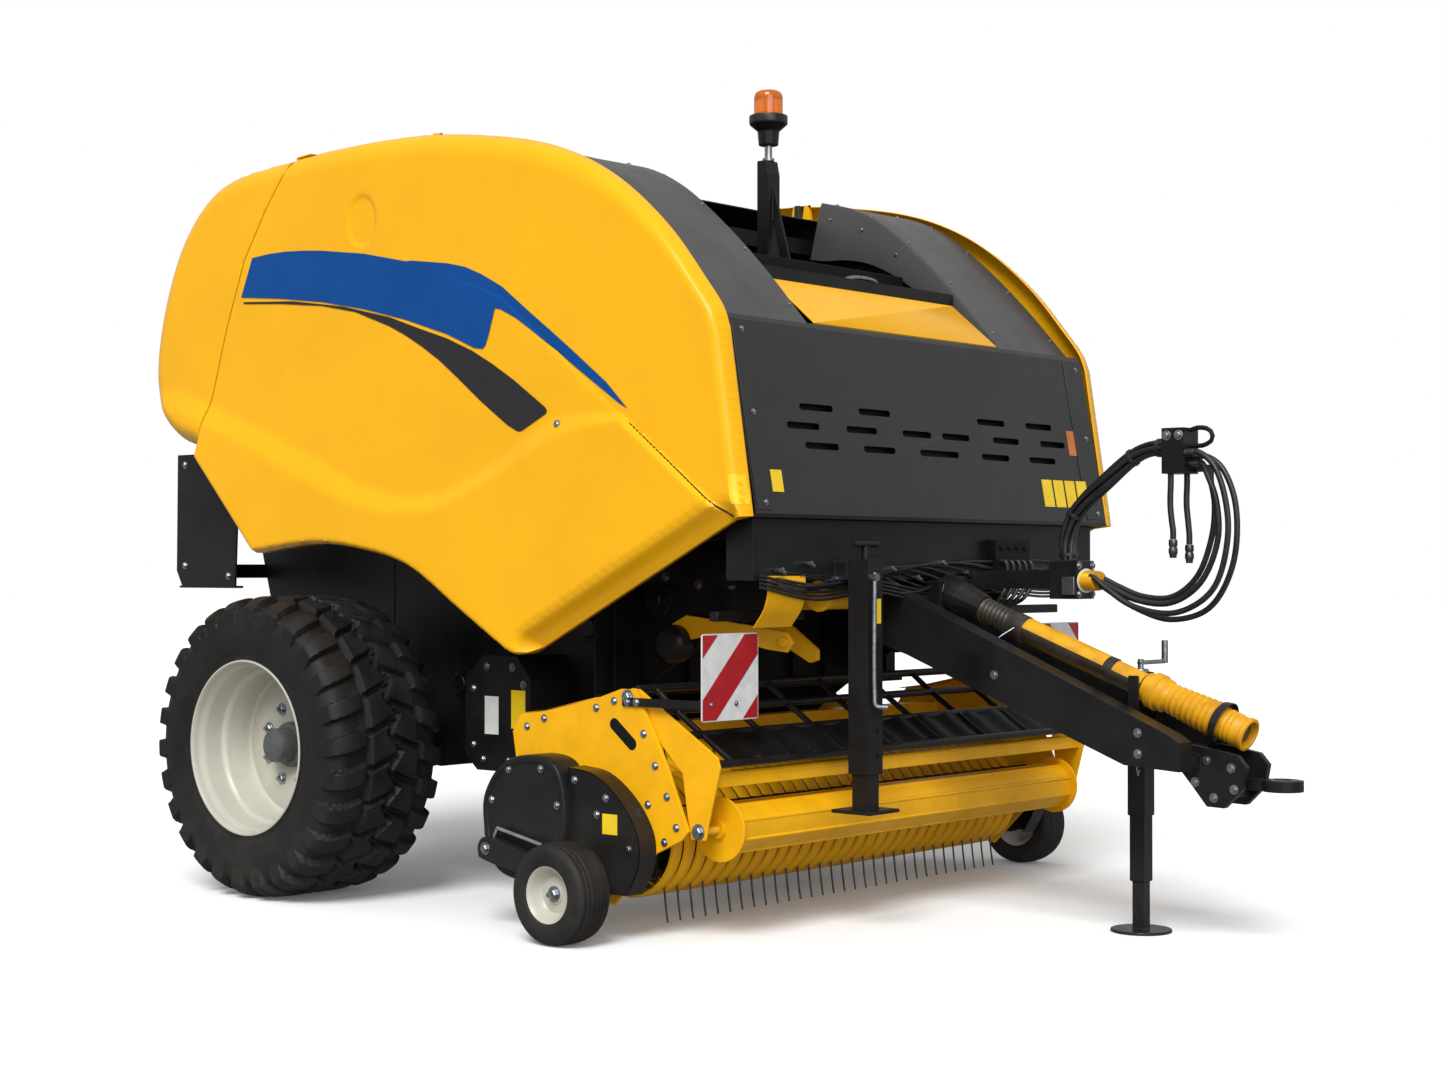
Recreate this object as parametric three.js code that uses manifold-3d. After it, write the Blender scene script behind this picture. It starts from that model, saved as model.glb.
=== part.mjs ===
// A towed round baler, parked on its wheels and its drawbar jack.
// Millimetres. +X is the direction of travel, +Y the machine's left, +Z up, z = 0 the ground.
// Lengths along X are measured from the main axle; the last lines move the whole machine to its middle.
import * as THREE from 'three';
import { mergeVertices } from 'three/addons/utils/BufferGeometryUtils.js';
import Module from 'manifold-3d';

const wasm = await Module();
wasm.setup();

// ---- driving dimensions ----
const GAP = 0.3; // between pieces that touch
const RUNNING_GAP = 6; // between pieces that pass each other
const LENGTH_REAR = 950; // from the axle to the rearmost cover
const LENGTH_FRONT = 3420; // from the axle to the tip of the drawbar eye

const TYRE_R = 545;
const TYRE_W = 500;
const WHEEL_OUT_Y = 1390; // outer side of a main wheel
const RIM_R = 305;
const RIM_DISH = 190; // depth of the wheel disc behind the rim's outer edge
const AXLE_SIDE = 110; // the square axle beam
const SPINDLE_R = 42;

const CHAMBER_HALF = 610; // inner side of the chamber walls
const WALL = 8; // thickness of the chamber walls
const COVER_HALF = 1120; // outer side of the yellow covers
const COVER_ROUND = 70; // rounding of the covers' edges
const COVER_WALL = 8;
const PANEL_DEPTH = 76; // how far a side panel's rim reaches inwards
const ROOF_INSET = 86; // from the covers' outer side to the roof's edge
const ROOF_HALF = COVER_HALF - ROOF_INSET;
const HINGE_INSET = 79; // from the covers' outer side to the side panels' hinge line
const PANEL_HINGE = [COVER_HALF - HINGE_INSET, 2726]; // y, z of that line
const PANEL_HINGE_X = [100, 620];
const PANEL_PIN_R = 7;
const FENDER_IN_Y = 570;
const FENDER_DEPTH = 110; // of the inner wall below the top sheet
const SHEET = 5;

const GATE_HINGE = [-95, 2694]; // x, z of the tailgate's pivot
const GATE_GAP = 9;
const GATE_PIN = [-375, 2105]; // the cylinder's eye on the tailgate
const CYLINDER_PIN = [580, 2110]; // the cylinder's eye on the chamber wall
const CYLINDER_OFFSET = 95; // from the chamber walls' inner side to a cylinder's axis
const CYLINDER_Y = CHAMBER_HALF + CYLINDER_OFFSET;
const CYLINDER_R = 38;
const CYLINDER_ROD_R = 20;
const CYLINDER_BARREL = 820; // from its pin to its gland

const WHEEL_SIDES = 28;
const GAUGE_SIDES = 20;

const PANEL_HALF = 1036; // half width of the front panel
const PANEL_FOOT = [2106, 1349];
const PANEL_HEAD = [1994, 1990];
const WALL_FRONT = 1950; // front edge of the chamber walls
const FRONT_BEAM = { x0: WALL_FRONT + GAP, x1: 2060, z0: 1150, z1: PANEL_FOOT[1] - GAP, half: 1000 };
const HOOD_HALF = 540;
const HOOD_FOOT = [1945, 2004];
const HOOD_HEAD = [1735, 2170];

const PICKUP_PIVOT = [1020, 600];
const REEL = [1530, 310]; // x, z of the tine reel's axis
const BAND_R = 200;
const BAND_T = 5;
const BAND_COUNT = 28;
const BAND_W = 50;
const REEL_HALF = 1000; // half the width over the stripper bands
const PLATE_Y = 1100; // outer side of the pick-up's side plates
const PLATE_T = 12;
const GUARD_PIVOT = [1620, 775];
const ROLLER = [1907, 361];
const ROLLER_R = 85;
const ROLLER_END_R = 105;
const ROLLER_HALF = 975;

const GAUGE = [1545, 163]; // axle of a gauge wheel, which stands on the ground
const GAUGE_W = 146;
const GAUGE_OUT_Y = 1400;

const BEAM_OUT_Y = 220; // outer side of the drawbar's beams
const BEAM_T = 80;
const EYE = [3357, 518];
const EYE_R = 63;
const JACK = [2800, 100]; // x, y
const JACK_SIDES = [64, 54, 42];
const STAND = [2150, -535]; // x, y of the stowed stand
const STAND_SIDE = 80;
const STAND_INNER = 62;

const PTO_REAR = [2140, 1090];
const PTO_FRONT = [3245, 668];
const PTO_TUBE_R = 44;

const HOSE_Y = 200; // the hose arm stands over the left beam

// ---- materials ----
const paint = (color, roughness, metalness) => (
  new THREE.MeshStandardMaterial({ color, roughness, metalness })
);
const YELLOW = 0xf2b010;
const BLACK = 0x1b1c1e;
const GREY = 0x3a3b3d;

// ---- solids ----
const asSolid = (geometry) => {
  let g = geometry.clone();
  g.deleteAttribute('normal');
  g.deleteAttribute('uv');
  g = mergeVertices(g, 1e-3);
  const triangles = [];
  for (let i = 0; i < g.index.count; i += 3) {
    const [a, b, c] = g.index.array.subarray(i, i + 3);
    if (a !== b && b !== c && c !== a) triangles.push(a, b, c);
  }
  const mesh = new wasm.Mesh({
    numProp: 3,
    vertProperties: new Float32Array(g.attributes.position.array),
    triVerts: new Uint32Array(triangles),
  });
  return new wasm.Manifold(mesh);
};
const asGeometry = (solid) => {
  const mesh = solid.getMesh();
  const g = new THREE.BufferGeometry();
  g.setAttribute('position', new THREE.BufferAttribute(new Float32Array(mesh.vertProperties), 3));
  g.setIndex(new THREE.BufferAttribute(new Uint32Array(mesh.triVerts), 1));
  g.computeVertexNormals();
  return g;
};
const join = (...solids) => solids.reduce((a, b) => a.add(b));
const cut = (base, ...tools) => tools.reduce((a, b) => a.subtract(b), base);

const boxGeometry = (x0, x1, y0, y1, z0, z1) => {
  const g = new THREE.BoxGeometry(x1 - x0, y1 - y0, z1 - z0);
  g.translate((x0 + x1) / 2, (y0 + y1) / 2, (z0 + z1) / 2);
  return g;
};
const box = (...limits) => asSolid(boxGeometry(...limits));

// A closed outline of [x, z] points, as a Shape.
const outline = (points) => new THREE.Shape(points.map(([x, z]) => new THREE.Vector2(x, z)));

// An outline in the XZ plane, extruded along Y from y0 to y1.
const slab = (shape, y0, y1, options = {}) => {
  const depth = y1 - y0;
  const g = new THREE.ExtrudeGeometry(shape, { depth, bevelEnabled: false, curveSegments: 8, ...options });
  g.rotateX(Math.PI / 2);
  g.translate(0, y1, 0);
  return asSolid(g);
};
const plate = (points, y0, y1) => slab(outline(points), y0, y1);

// A round bar or cone from point a to point b.
const rod = (a, b, r, r2 = r, sides = 16) => {
  const from = new THREE.Vector3(...a);
  const to = new THREE.Vector3(...b);
  const g = new THREE.CylinderGeometry(r2, r, from.distanceTo(to), sides);
  const turn = new THREE.Quaternion().setFromUnitVectors(
    new THREE.Vector3(0, 1, 0),
    to.clone().sub(from).normalize(),
  );
  g.applyQuaternion(turn);
  g.translate(...from.add(to).multiplyScalar(0.5).toArray());
  return asSolid(g);
};
// A bar across the machine.
const crossRod = ([x, z], y0, y1, r, sides = 12) => rod([x, y0, z], [x, y1, z], r, r, sides);

// A turned piece about the Y axis, from a profile of [radius, y] points. The profile starts and ends on the
// axis, or closes on itself. Its flats, and not its corners, lie at the stated radius, so that a wheel stands
// on one.
const lathe = (profile, sides) => {
  const loop = profile[0][0] > 0 ? [...profile, profile[0]] : profile;
  const area = loop.reduce((sum, [r, y], i) => {
    const [r2, y2] = loop[(i + 1) % loop.length];
    return sum + r * y2 - r2 * y;
  }, 0);
  const points = area > 0 ? loop : [...loop].reverse();
  const stretch = 1 / Math.cos(Math.PI / sides);
  const g = new THREE.LatheGeometry(points.map(([r, y]) => new THREE.Vector2(r * stretch, y)), sides);
  g.rotateY(Math.PI / sides);
  return g;
};
// The same about a line along Y through [x, z].
const turned = (profile, [x, z], sides) => asSolid(lathe(profile, sides).translate(x, 0, z));

// A bar of round section along a smooth line through points.
const bent = (points, r, steps, sides = 8) => {
  const path = new THREE.CatmullRomCurve3(points.map((p) => new THREE.Vector3(...p)), false, 'centripetal');
  const ring = [];
  for (let i = 0; i < sides; i++) {
    const a = (i / sides) * 2 * Math.PI;
    ring.push(new THREE.Vector2(r * Math.cos(a), r * Math.sin(a)));
  }
  const sweep = { steps, extrudePath: path, bevelEnabled: false };
  return asSolid(new THREE.ExtrudeGeometry(new THREE.Shape(ring), sweep));
};

// The radius of a hole in which a bar with that many sides turns freely.
const boreFor = (r, sides = 12) => r / Math.cos(Math.PI / sides) + GAP;

const mirror = (solid) => solid.mirror([0, 1, 0]);
const both = (right) => join(right, mirror(right));
const baler = new THREE.Group();
const add = (name, solid, color, roughness = 0.5, metalness = 0.2) => {
  const mesh = new THREE.Mesh(asGeometry(solid), paint(color, roughness, metalness));
  mesh.name = name;
  baler.add(mesh);
};
// One piece on the right side and its mirror image on the left.
const addPair = (name, right, ...looks) => {
  add(`${name}_right`, right, ...looks);
  add(`${name}_left`, mirror(right), ...looks);
};

// ---- covers: one rounded body, cut into tailgate cover and side panels ----
const coverShape = () => {
  const s = new THREE.Shape();
  s.moveTo(-650, 1652);
  s.splineThru([
    [-800, 1700],
    [-905, 1800],
    [-LENGTH_REAR, 1940],
    [-905, 2200],
    [-760, 2490],
    [-540, 2660],
    [-90, 2712],
    [305, 2722],
    [787, 2696],
    [1158, 2632],
    [1381, 2552],
    [1567, 2445],
    [1762, 2280],
    [1905, 2113],
    [2004, 1982],
  ].map(([x, z]) => new THREE.Vector2(x, z)));
  s.lineTo(2104, 1351);
  s.lineTo(2038, 1339);
  s.lineTo(1200, 925);
  s.quadraticCurveTo(1122, 885, 1040, 935);
  s.lineTo(876, 1030);
  s.splineThru([
    [578, 1198],
    [309, 1259],
    [79, 1278],
    [-285, 1247],
  ].map(([x, z]) => new THREE.Vector2(x, z)));
  s.lineTo(-650, 1612);
  return s;
};
const coverBody = (half, round, inset) =>
  slab(coverShape(), -half + round, half - round, {
    curveSegments: 2,
    bevelEnabled: true,
    bevelThickness: round,
    bevelSize: round,
    bevelOffset: -round - inset,
    bevelSegments: 3,
  });
const coverShell = cut(
  coverBody(COVER_HALF, COVER_ROUND, 0),
  coverBody(COVER_HALF - COVER_WALL, COVER_ROUND, COVER_WALL),
);
// Everything behind the seam between the tailgate and the side panels.
const seam = [[-88, 2800], [-88, 2694], [-356, 2353], [-546, 1859], [-646, 1625], [-666, 1500]];
// The tailgate stands back at the seam's top corner and at its bend, to clear the side panels as it
// swings up.
const CORNER_BACK = 24;
const BEND_BACK = 14;
const [, seamCorner, seamBend, ...seamFoot] = seam;
const gateSeam = [
  [seamCorner[0] - CORNER_BACK, 2800], [seamCorner[0] - CORNER_BACK, seamCorner[1] - 18],
  [seamBend[0] - BEND_BACK, seamBend[1]], ...seamFoot,
];
const behindGateSeam = plate([
  ...gateSeam.map(([x, z]) => [x - GATE_GAP, z]), [-1400, 1500], [-1400, 2800],
], -COVER_HALF - 10, COVER_HALF + 10);
const aheadOfSeam = plate(
  [...seam, [-666, 700], [2400, 700], [2400, 2800]].reverse(), -COVER_HALF - 10, COVER_HALF + 10,
);
const PANEL_IN_Y = COVER_HALF - PANEL_DEPTH;
const rightSide = box(-1400, 2400, -COVER_HALF - 10, -PANEL_IN_Y, 700, 2900);
// The roof lies lower than the covers' tops, so that they hide it from the side.
const roofLine = [[-30, 2691], [150, 2688], [420, 2620], [700, 2570], [1060, 2562]];
const roofHeight = (x) => {
  const k = roofLine.findIndex(([rx]) => rx > x);
  const [[x0, z0], [x1, z1]] = [roofLine[k - 1], roofLine[k]];
  return z0 + (z1 - z0) * (x - x0) / (x1 - x0);
};
// The side panels swing up about pins that the roof cover's edge carries.
const [hingeY, hingeZ] = PANEL_HINGE;
const along = (x0, x1, r) => rod([x0, -hingeY, hingeZ], [x1, -hingeY, hingeZ], r, r, 10);
const panelHingePin = (x) => join(
  along(x - 50, x + 50, PANEL_PIN_R),
  box(x - 12, x + 12, -hingeY - 2, -ROOF_HALF + 30, Math.min(2680, roofHeight(x) - 2), hingeZ + 8),
);
const panelEar = (x) => box(x - 7, x + 7, -hingeY - 16, -ROOF_HALF - 1, hingeZ - 36, hingeZ + 10);
const panelEars = PANEL_HINGE_X.flatMap((x) => [panelEar(x - 30), panelEar(x + 30)]);
addPair('side_panel', cut(
  join(coverShell.intersect(aheadOfSeam).intersect(rightSide), ...panelEars),
  along(-200, 2000, boreFor(PANEL_PIN_R, 10)),
), YELLOW, 0.35, 0.1);

const gateMiddle = box(-1400, 0, -PANEL_IN_Y + 40, PANEL_IN_Y - 40, 1500, 1960);
// The notch in the tailgate cover leaves its pivot tube and lugs free.
const notchHalf = CHAMBER_HALF + 35;
const pivotNotch = box(GATE_HINGE[0] - 45, 0, -notchHalf, notchHalf, GATE_HINGE[1] - 60, 2900);
const gateCover = cut(coverShell.intersect(behindGateSeam), gateMiddle, pivotNotch);
add('tailgate_cover', gateCover, YELLOW, 0.35, 0.1);

// ---- chassis: two chamber walls joined by cross members ----
const wallOut = CHAMBER_HALF + WALL;
// The same line, shifted to the under side of a sheet.
const lowered = (line, depth) => line.map(([x, z]) => [x - depth * 0.5, z - depth]);
const fenderLine = [[1100, 2628], [1250, 2588], [1400, 2512], [1600, 2352], [1780, 2178], [1945, 1996]];
// The walls end just under the roof cover and the fenders.
const underRoof = lowered(roofLine, SHEET + 2 * GAP);
const underFender = lowered(fenderLine, SHEET + 2 * GAP);
const wallStep = roofLine.at(-1)[0] + 4;
const wallOutline = [
  ...underRoof, [wallStep, underRoof.at(-1)[1]], [wallStep, underFender[0][1]], ...underFender,
  [WALL_FRONT, 1345], [WALL_FRONT, 1090], [1560, 960], [1180, 730], [880, 520], [200, 440], [-60, 470],
  [-60, 2580],
];
const across = (x0, x1, z0, z1) => box(x0, x1, -CHAMBER_HALF - 1, CHAMBER_HALF + 1, z0, z1);
// Lugs that hold the ends of the tailgate's pivot tube.
const gatePivotR = 15;
const gateLug = join(
  plate(
    [[-50, 2500], [-112, 2670], [-112, 2712], [-78, 2712], [40, 2600], [40, 2500]],
    -wallOut - 1 - WALL, -wallOut - 1,
  ),
  box(-50, 40, -wallOut - 2, -wallOut + 1, 2500, 2580),
);
const gatePinR = 8;
const gatePivotPin = crossRod(GATE_HINGE, -wallOut - 2, -wallOut + 40, gatePinR);
const bossEndY = -CYLINDER_Y + CYLINDER_R + 2;
const cylinderBoss = (pin) => crossRod(pin, bossEndY, -wallOut + 1, 30);
// The chain case outside each wall, ahead of the wheel.
const chainCase = plate([
  [600, 520], [600, 800], [690, 880], [860, 880], [930, 800], [930, 560], [850, 470], [660, 470],
], -860, -wallOut + 1);
const axleHole = box(
  -AXLE_SIDE / 2 - GAP, AXLE_SIDE / 2 + GAP, -2000, 2000,
  TYRE_R - AXLE_SIDE / 2 - GAP, TYRE_R + AXLE_SIDE / 2 + GAP,
);
const pickupPinR = 25;
const pickupPin = crossRod(PICKUP_PIVOT, -700, -wallOut + 1, pickupPinR);
add('chassis_frame', cut(join(
  both(plate(wallOutline, -wallOut, -CHAMBER_HALF)),
  both(join(gateLug, gatePivotPin, cylinderBoss(CYLINDER_PIN), chainCase, pickupPin)),
  across(-40, 40, 2500, 2560),
  across(960, 1020, 2430, 2490),
  across(1640, 1700, 2020, 2085),
  box(1650, HOOD_HEAD[0] - GAP, -FENDER_IN_Y + 10, FENDER_IN_Y - 10, 2084, 2214),
  across(1280, 1460, 2090, 2150),
  across(820, 900, 560, 620),
  across(-40, 40, 450, 480),
), axleHole), BLACK, 0.5, 0.4);

add('axle_beam', join(
  box(
    -AXLE_SIDE / 2, AXLE_SIDE / 2, -WHEEL_OUT_Y + TYRE_W, WHEEL_OUT_Y - TYRE_W,
    TYRE_R - AXLE_SIDE / 2, TYRE_R + AXLE_SIDE / 2,
  ),
  crossRod([0, TYRE_R], -WHEEL_OUT_Y + 150, WHEEL_OUT_Y - 150, SPINDLE_R, 24),
), BLACK, 0.5, 0.4);

const beam = FRONT_BEAM;
add('front_beam', join(
  box(beam.x0, beam.x1, -beam.half, beam.half, beam.z0, beam.z1),
  box(beam.x1 - 1, STAND[0] - STAND_SIDE / 2 - GAP, STAND[1] - 45, STAND[1] + 45, beam.z0, beam.z0 + 60),
), BLACK, 0.5, 0.4);

// ---- main wheels ----
const wheelAxis = [0, TYRE_R];
const tyreIn = WHEEL_OUT_Y - TYRE_W;
const tyreProfile = [
  [RIM_R, -WHEEL_OUT_Y + 12], [430, -WHEEL_OUT_Y], [505, -WHEEL_OUT_Y + 14], [TYRE_R, -WHEEL_OUT_Y + 60],
  [TYRE_R, -tyreIn - 60], [505, -tyreIn - 14], [430, -tyreIn], [RIM_R, -tyreIn - 12],
];
addPair('wheel_tyre', turned(tyreProfile, wheelAxis, WHEEL_SIDES), 0x1a1a1b, 0.9, 0);
const discY = -WHEEL_OUT_Y + RIM_DISH;
const bore = SPINDLE_R + GAP;
const spindleEnd = -WHEEL_OUT_Y + 150;
const rimProfile = [
  [0, spindleEnd - 45], [72, spindleEnd - 45], [72, discY - 14], [270, discY - 40], [284, -WHEEL_OUT_Y + 8],
  [RIM_R - GAP, -WHEEL_OUT_Y + 8], [RIM_R - GAP, -tyreIn - 8], [290, -tyreIn - 8], [280, discY - 8],
  [bore, discY + 30], [bore, spindleEnd - GAP], [0, spindleEnd - GAP],
];
addPair('wheel_rim', turned(rimProfile, wheelAxis, WHEEL_SIDES), 0xe8e6df, 0.45, 0.1);

// ---- tailgate frame, its pivot tube, wings and rear bar ----
const gateOutline = [
  [-66, 2560], [-160, 2640], [-420, 2610], [-640, 2500], [-790, 2280],
  [-860, 2000], [-880, 1700], [-880, 1250],
  [-800, 980], [-620, 760], [-380, 620], [-66, 520],
];
const gateInside = [
  [-20, 2540], [-165, 2628], [-415, 2598], [-632, 2491], [-779, 2276],
  [-849, 1998], [-869, 1700], [-869, 1253],
  [-791, 986], [-614, 769], [-377, 631], [-20, 540],
];
const gateArm = plate([
  [-66, 2520], [-120, 2520], [-135, 2700], [-110, 2712], [-80, 2712], [-70, 2690],
], -wallOut + 5, -wallOut + 17);
const coverBracket = (x, z) => box(x, x + 60, -COVER_HALF + COVER_WALL + GAP, -CHAMBER_HALF - 1, z, z + 50);
const gatePinHole = crossRod(GATE_HINGE, -2000, -wallOut + 41, boreFor(gatePinR));
add('tailgate_frame', cut(join(
  cut(plate(gateOutline, -wallOut, wallOut), plate(gateInside, -CHAMBER_HALF, CHAMBER_HALF)),
  both(join(
    gateArm,
    cylinderBoss(GATE_PIN),
    coverBracket(-700, 2100),
    coverBracket(-420, 2440),
  )),
  crossRod(GATE_HINGE, -wallOut, wallOut, gatePivotR),
), both(gatePinHole)), BLACK, 0.5, 0.4);

// The rear bar lies along the back of the tailgate's shell and carries a wing at each end.
const gateBack = (z) => {
  const [[x0, z0], [x1, z1]] = gateOutline.slice(7, 9);
  return x0 + ((z - z0) / (z1 - z0)) * (x1 - x0) - 1.2 * GAP;
};
const wing = plate([
  [-930, 1640], [-935, 1180], [-900, 1120], [-560, 1120], [-540, 1560], [-620, 1640],
], -1000, -992);
const rearBar = plate([
  [-905, 1150], [-905, 1205], [gateBack(1205), 1205], [gateBack(1150), 1150],
], -998, 998);
add('tail_wings', join(
  both(join(wing, box(-915, -560, -1000, -960, 1112, 1121))),
  rearBar,
), BLACK, 0.5, 0.4);

// ---- tailgate cylinders ----
const cylinderDirection = () => {
  const [x0, z0] = CYLINDER_PIN;
  const [x1, z1] = GATE_PIN;
  const length = Math.hypot(x1 - x0, z1 - z0);
  return { length, ux: (x1 - x0) / length, uz: (z1 - z0) / length };
};
const cylinder = cylinderDirection();
const alongCylinder = (s) => [
  CYLINDER_PIN[0] + cylinder.ux * s, -CYLINDER_Y, CYLINDER_PIN[1] + cylinder.uz * s,
];
const eyeHalf = 22;
const cylinderEye = (pin) => crossRod(pin, -CYLINDER_Y - eyeHalf, bossEndY - GAP, 34);
const rodBore = rod(alongCylinder(90), alongCylinder(CYLINDER_BARREL + 10), CYLINDER_ROD_R + GAP);
addPair('cylinder_barrel', cut(
  join(cylinderEye(CYLINDER_PIN), rod(alongCylinder(20), alongCylinder(CYLINDER_BARREL), CYLINDER_R)),
  rodBore,
), BLACK, 0.4, 0.4);
addPair('cylinder_rod', join(
  cylinderEye(GATE_PIN),
  rod(alongCylinder(120), alongCylinder(cylinder.length - 10), CYLINDER_ROD_R),
), 0xb8bcc0, 0.2, 0.9);

// ---- front panel with its slots, lid, fenders and roof ----
const panelSlots = [
  { z: 1711, y: [-655, -340, 355, 668], length: 180 },
  { z: 1648, y: [-736, -424, -112, 120, 436, 746], length: 172 },
  { z: 1585, y: [-652, -340, 352, 660], length: 180 },
  { z: 1585, y: [6], length: 235 },
];
const slotHeight = 22;
const slotHole = (y, z, length) => {
  const r = slotHeight / 2;
  const ends = [y - length / 2 + r, y + length / 2 - r];
  return join(
    box(1900, 2200, ...ends, z - r, z + r),
    ...ends.map((at) => rod([1900, at, z], [2200, at, z], r, r, 6)),
  );
};
const [footX, footZ] = PANEL_FOOT;
const [headX, headZ] = PANEL_HEAD;
const frontSheet = plate([
  [footX - 64, footZ], [footX - 6, footZ], [footX, footZ + 12], [headX, headZ - 14], [headX - 12, headZ + 2],
  [headX - 40, headZ + 8], [headX - 40, headZ + 8 - SHEET], [headX - 14, headZ + 2 - SHEET],
  [headX - SHEET, headZ - 16], [footX - SHEET, footZ + 14], [footX - 8, footZ + SHEET],
  [footX - 64, footZ + SHEET],
], -PANEL_HALF, PANEL_HALF);
const slotHoles = panelSlots.flatMap(({ z, y, length }) => y.map((at) => slotHole(at, z, length)));
add('front_panel', cut(frontSheet, ...slotHoles), GREY, 0.5, 0.2);

const [hoodX, hoodZ] = HOOD_HEAD;
const hoodSheet = plate([
  HOOD_FOOT, [hoodX + 10, hoodZ], [hoodX, hoodZ], [hoodX, hoodZ - 28], [hoodX + SHEET, hoodZ - 28],
  [hoodX + SHEET, hoodZ - SHEET], [hoodX + 8, hoodZ - SHEET], [HOOD_FOOT[0] - 4, HOOD_FOOT[1] - SHEET],
], -HOOD_HALF, HOOD_HALF);
add('hood', hoodSheet, YELLOW, 0.35, 0.1);

const thicken = (line, depth) => [...line, ...lowered([...line].reverse(), depth)];
const fenderTop = plate(thicken(fenderLine, SHEET), -1030, -FENDER_IN_Y);
const fenderInner = plate(thicken(fenderLine, FENDER_DEPTH), -FENDER_IN_Y - SHEET, -FENDER_IN_Y);
addPair('fender', join(fenderTop, fenderInner), GREY, 0.5, 0.2);

add('roof_cover', join(
  plate(thicken(roofLine, SHEET), -ROOF_HALF, ROOF_HALF),
  ...PANEL_HINGE_X.map((x) => both(panelHingePin(x))),
), GREY, 0.5, 0.2);

// ---- gearbox, shaft to the tractor and its guard ----
const ptoLength = Math.hypot(PTO_FRONT[0] - PTO_REAR[0], PTO_FRONT[1] - PTO_REAR[1]);
const ptoAngle = Math.atan2(PTO_REAR[1] - PTO_FRONT[1], PTO_FRONT[0] - PTO_REAR[0]);
// A piece turned about the shaft's line: profile of [radius, distance from its rear end].
const onShaft = (profile, sides) => {
  const g = lathe(profile, sides);
  g.rotateZ(-Math.PI / 2);
  g.rotateY(ptoAngle);
  g.translate(PTO_REAR[0], 0, PTO_REAR[1]);
  return asSolid(g);
};
const bellowsEnd = 120;
add('gearbox', join(
  box(1790, beam.x0 - GAP, -130, 130, 960, 1240),
  box(beam.x0 - 1, PTO_REAR[0] - 20, -70, 70, 1010, beam.z0 - GAP),
  onShaft([[0, -60], [62, -60], [62, 20], [50, bellowsEnd], [0, bellowsEnd]], 16),
), 0x2a2b2d, 0.5, 0.4);
const guardBore = 30;
add('pto_guard', onShaft([
  [guardBore, bellowsEnd + GAP], [PTO_TUBE_R, bellowsEnd + GAP], [PTO_TUBE_R, 830], [62, 850], [64, 930],
  [52, 960], [62, 1060], [70, ptoLength - 70], [62, ptoLength - 64], [60, ptoLength], [50, ptoLength],
  [50, ptoLength - 110], [guardBore, ptoLength - 130],
], 16), YELLOW, 0.5, 0);
add('pto_shaft', onShaft([
  [0, bellowsEnd + GAP], [18, bellowsEnd + GAP], [18, ptoLength - 100], [36, ptoLength - 96],
  [36, ptoLength - 20], [0, ptoLength - 20],
], 12), 0x55585b, 0.4, 0.8);

// ---- drawbar, its eye, the jack and the stand ----
const beamTop = [[beam.x0, beam.z0 - GAP], [2070, 1110], [2120, 1080], [3083, 673], [3120, 650]];
const beamBottom = [[3120, 560], [2924, 572], [2087, 897], [beam.x0, 940]];
const column = ([x, y], side, z0, z1) => box(x - side / 2, x + side / 2, y - side / 2, y + side / 2, z0, z1);
const hitchPlate = plate([
  [3030, 575], [3075, 636], [3170, 624], [3245, 610], [3276, 575], [3262, 505], [3200, 444], [3140, 446],
  [3095, 500],
], -84, -60);
const cradle = box(2850, 2885, -66, -56, 650, 845);
add('drawbar', cut(join(
  both(join(plate([...beamTop, ...beamBottom], -BEAM_OUT_Y, -BEAM_OUT_Y + BEAM_T), hitchPlate, cradle)),
  plate([[3000, 600], [3030, 630], [3118, 605], [3118, 565]], -BEAM_OUT_Y + 1, BEAM_OUT_Y - 1),
  box(2850, 2885, -145, 145, 650, 700),
  box(2240, 2300, -145, 145, 880, 930),
  box(JACK[0] - 45, JACK[0] + 45, JACK[1] - 44, 145, 600, 740),
), column(JACK, JACK_SIDES[0] + 2 * GAP, 0, 1000)), BLACK, 0.4, 0.4);
add('drawbar_eye', cut(
  join(
    rod([EYE[0], 0, EYE[1] - 17], [EYE[0], 0, EYE[1] + 17], EYE_R, EYE_R, 28),
    box(3130, EYE[0] - 40, -34, 34, EYE[1] - 17, EYE[1] + 17),
    box(3125, 3215, -60 + GAP, 60 - GAP, EYE[1] - 45, EYE[1] + 45),
  ),
  rod([EYE[0], 0, 0], [EYE[0], 0, 1000], 26, 26, 24),
), BLACK, 0.4, 0.6);

const [jackOuter, jackMiddle, jackInner] = JACK_SIDES;
add('jack_housing', cut(
  join(column(JACK, jackOuter, 380, 850), column(JACK, jackOuter + 14, 590, 600 - GAP)),
  column(JACK, jackMiddle + 2 * GAP, 300, 842),
), BLACK, 0.4, 0.4);
add('jack_leg', join(
  column(JACK, jackMiddle, 165, 500),
  column(JACK, jackInner, 8, 170),
  rod([...JACK, 0], [...JACK, 10], 100, 100, 32),
), BLACK, 0.4, 0.4);

add('stand_post', cut(
  column(STAND, STAND_SIDE, 520, 1218),
  column(STAND, STAND_INNER + 2 * GAP, 400, 1208),
), BLACK, 0.4, 0.4);
const footHalf = 80;
const [standX, standY] = STAND;
add('stand_leg', join(
  column(STAND, STAND_INNER, 405, 930),
  box(standX - footHalf, standX + footHalf, standY - footHalf, standY + footHalf, 395, 407),
), BLACK, 0.4, 0.4);

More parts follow.
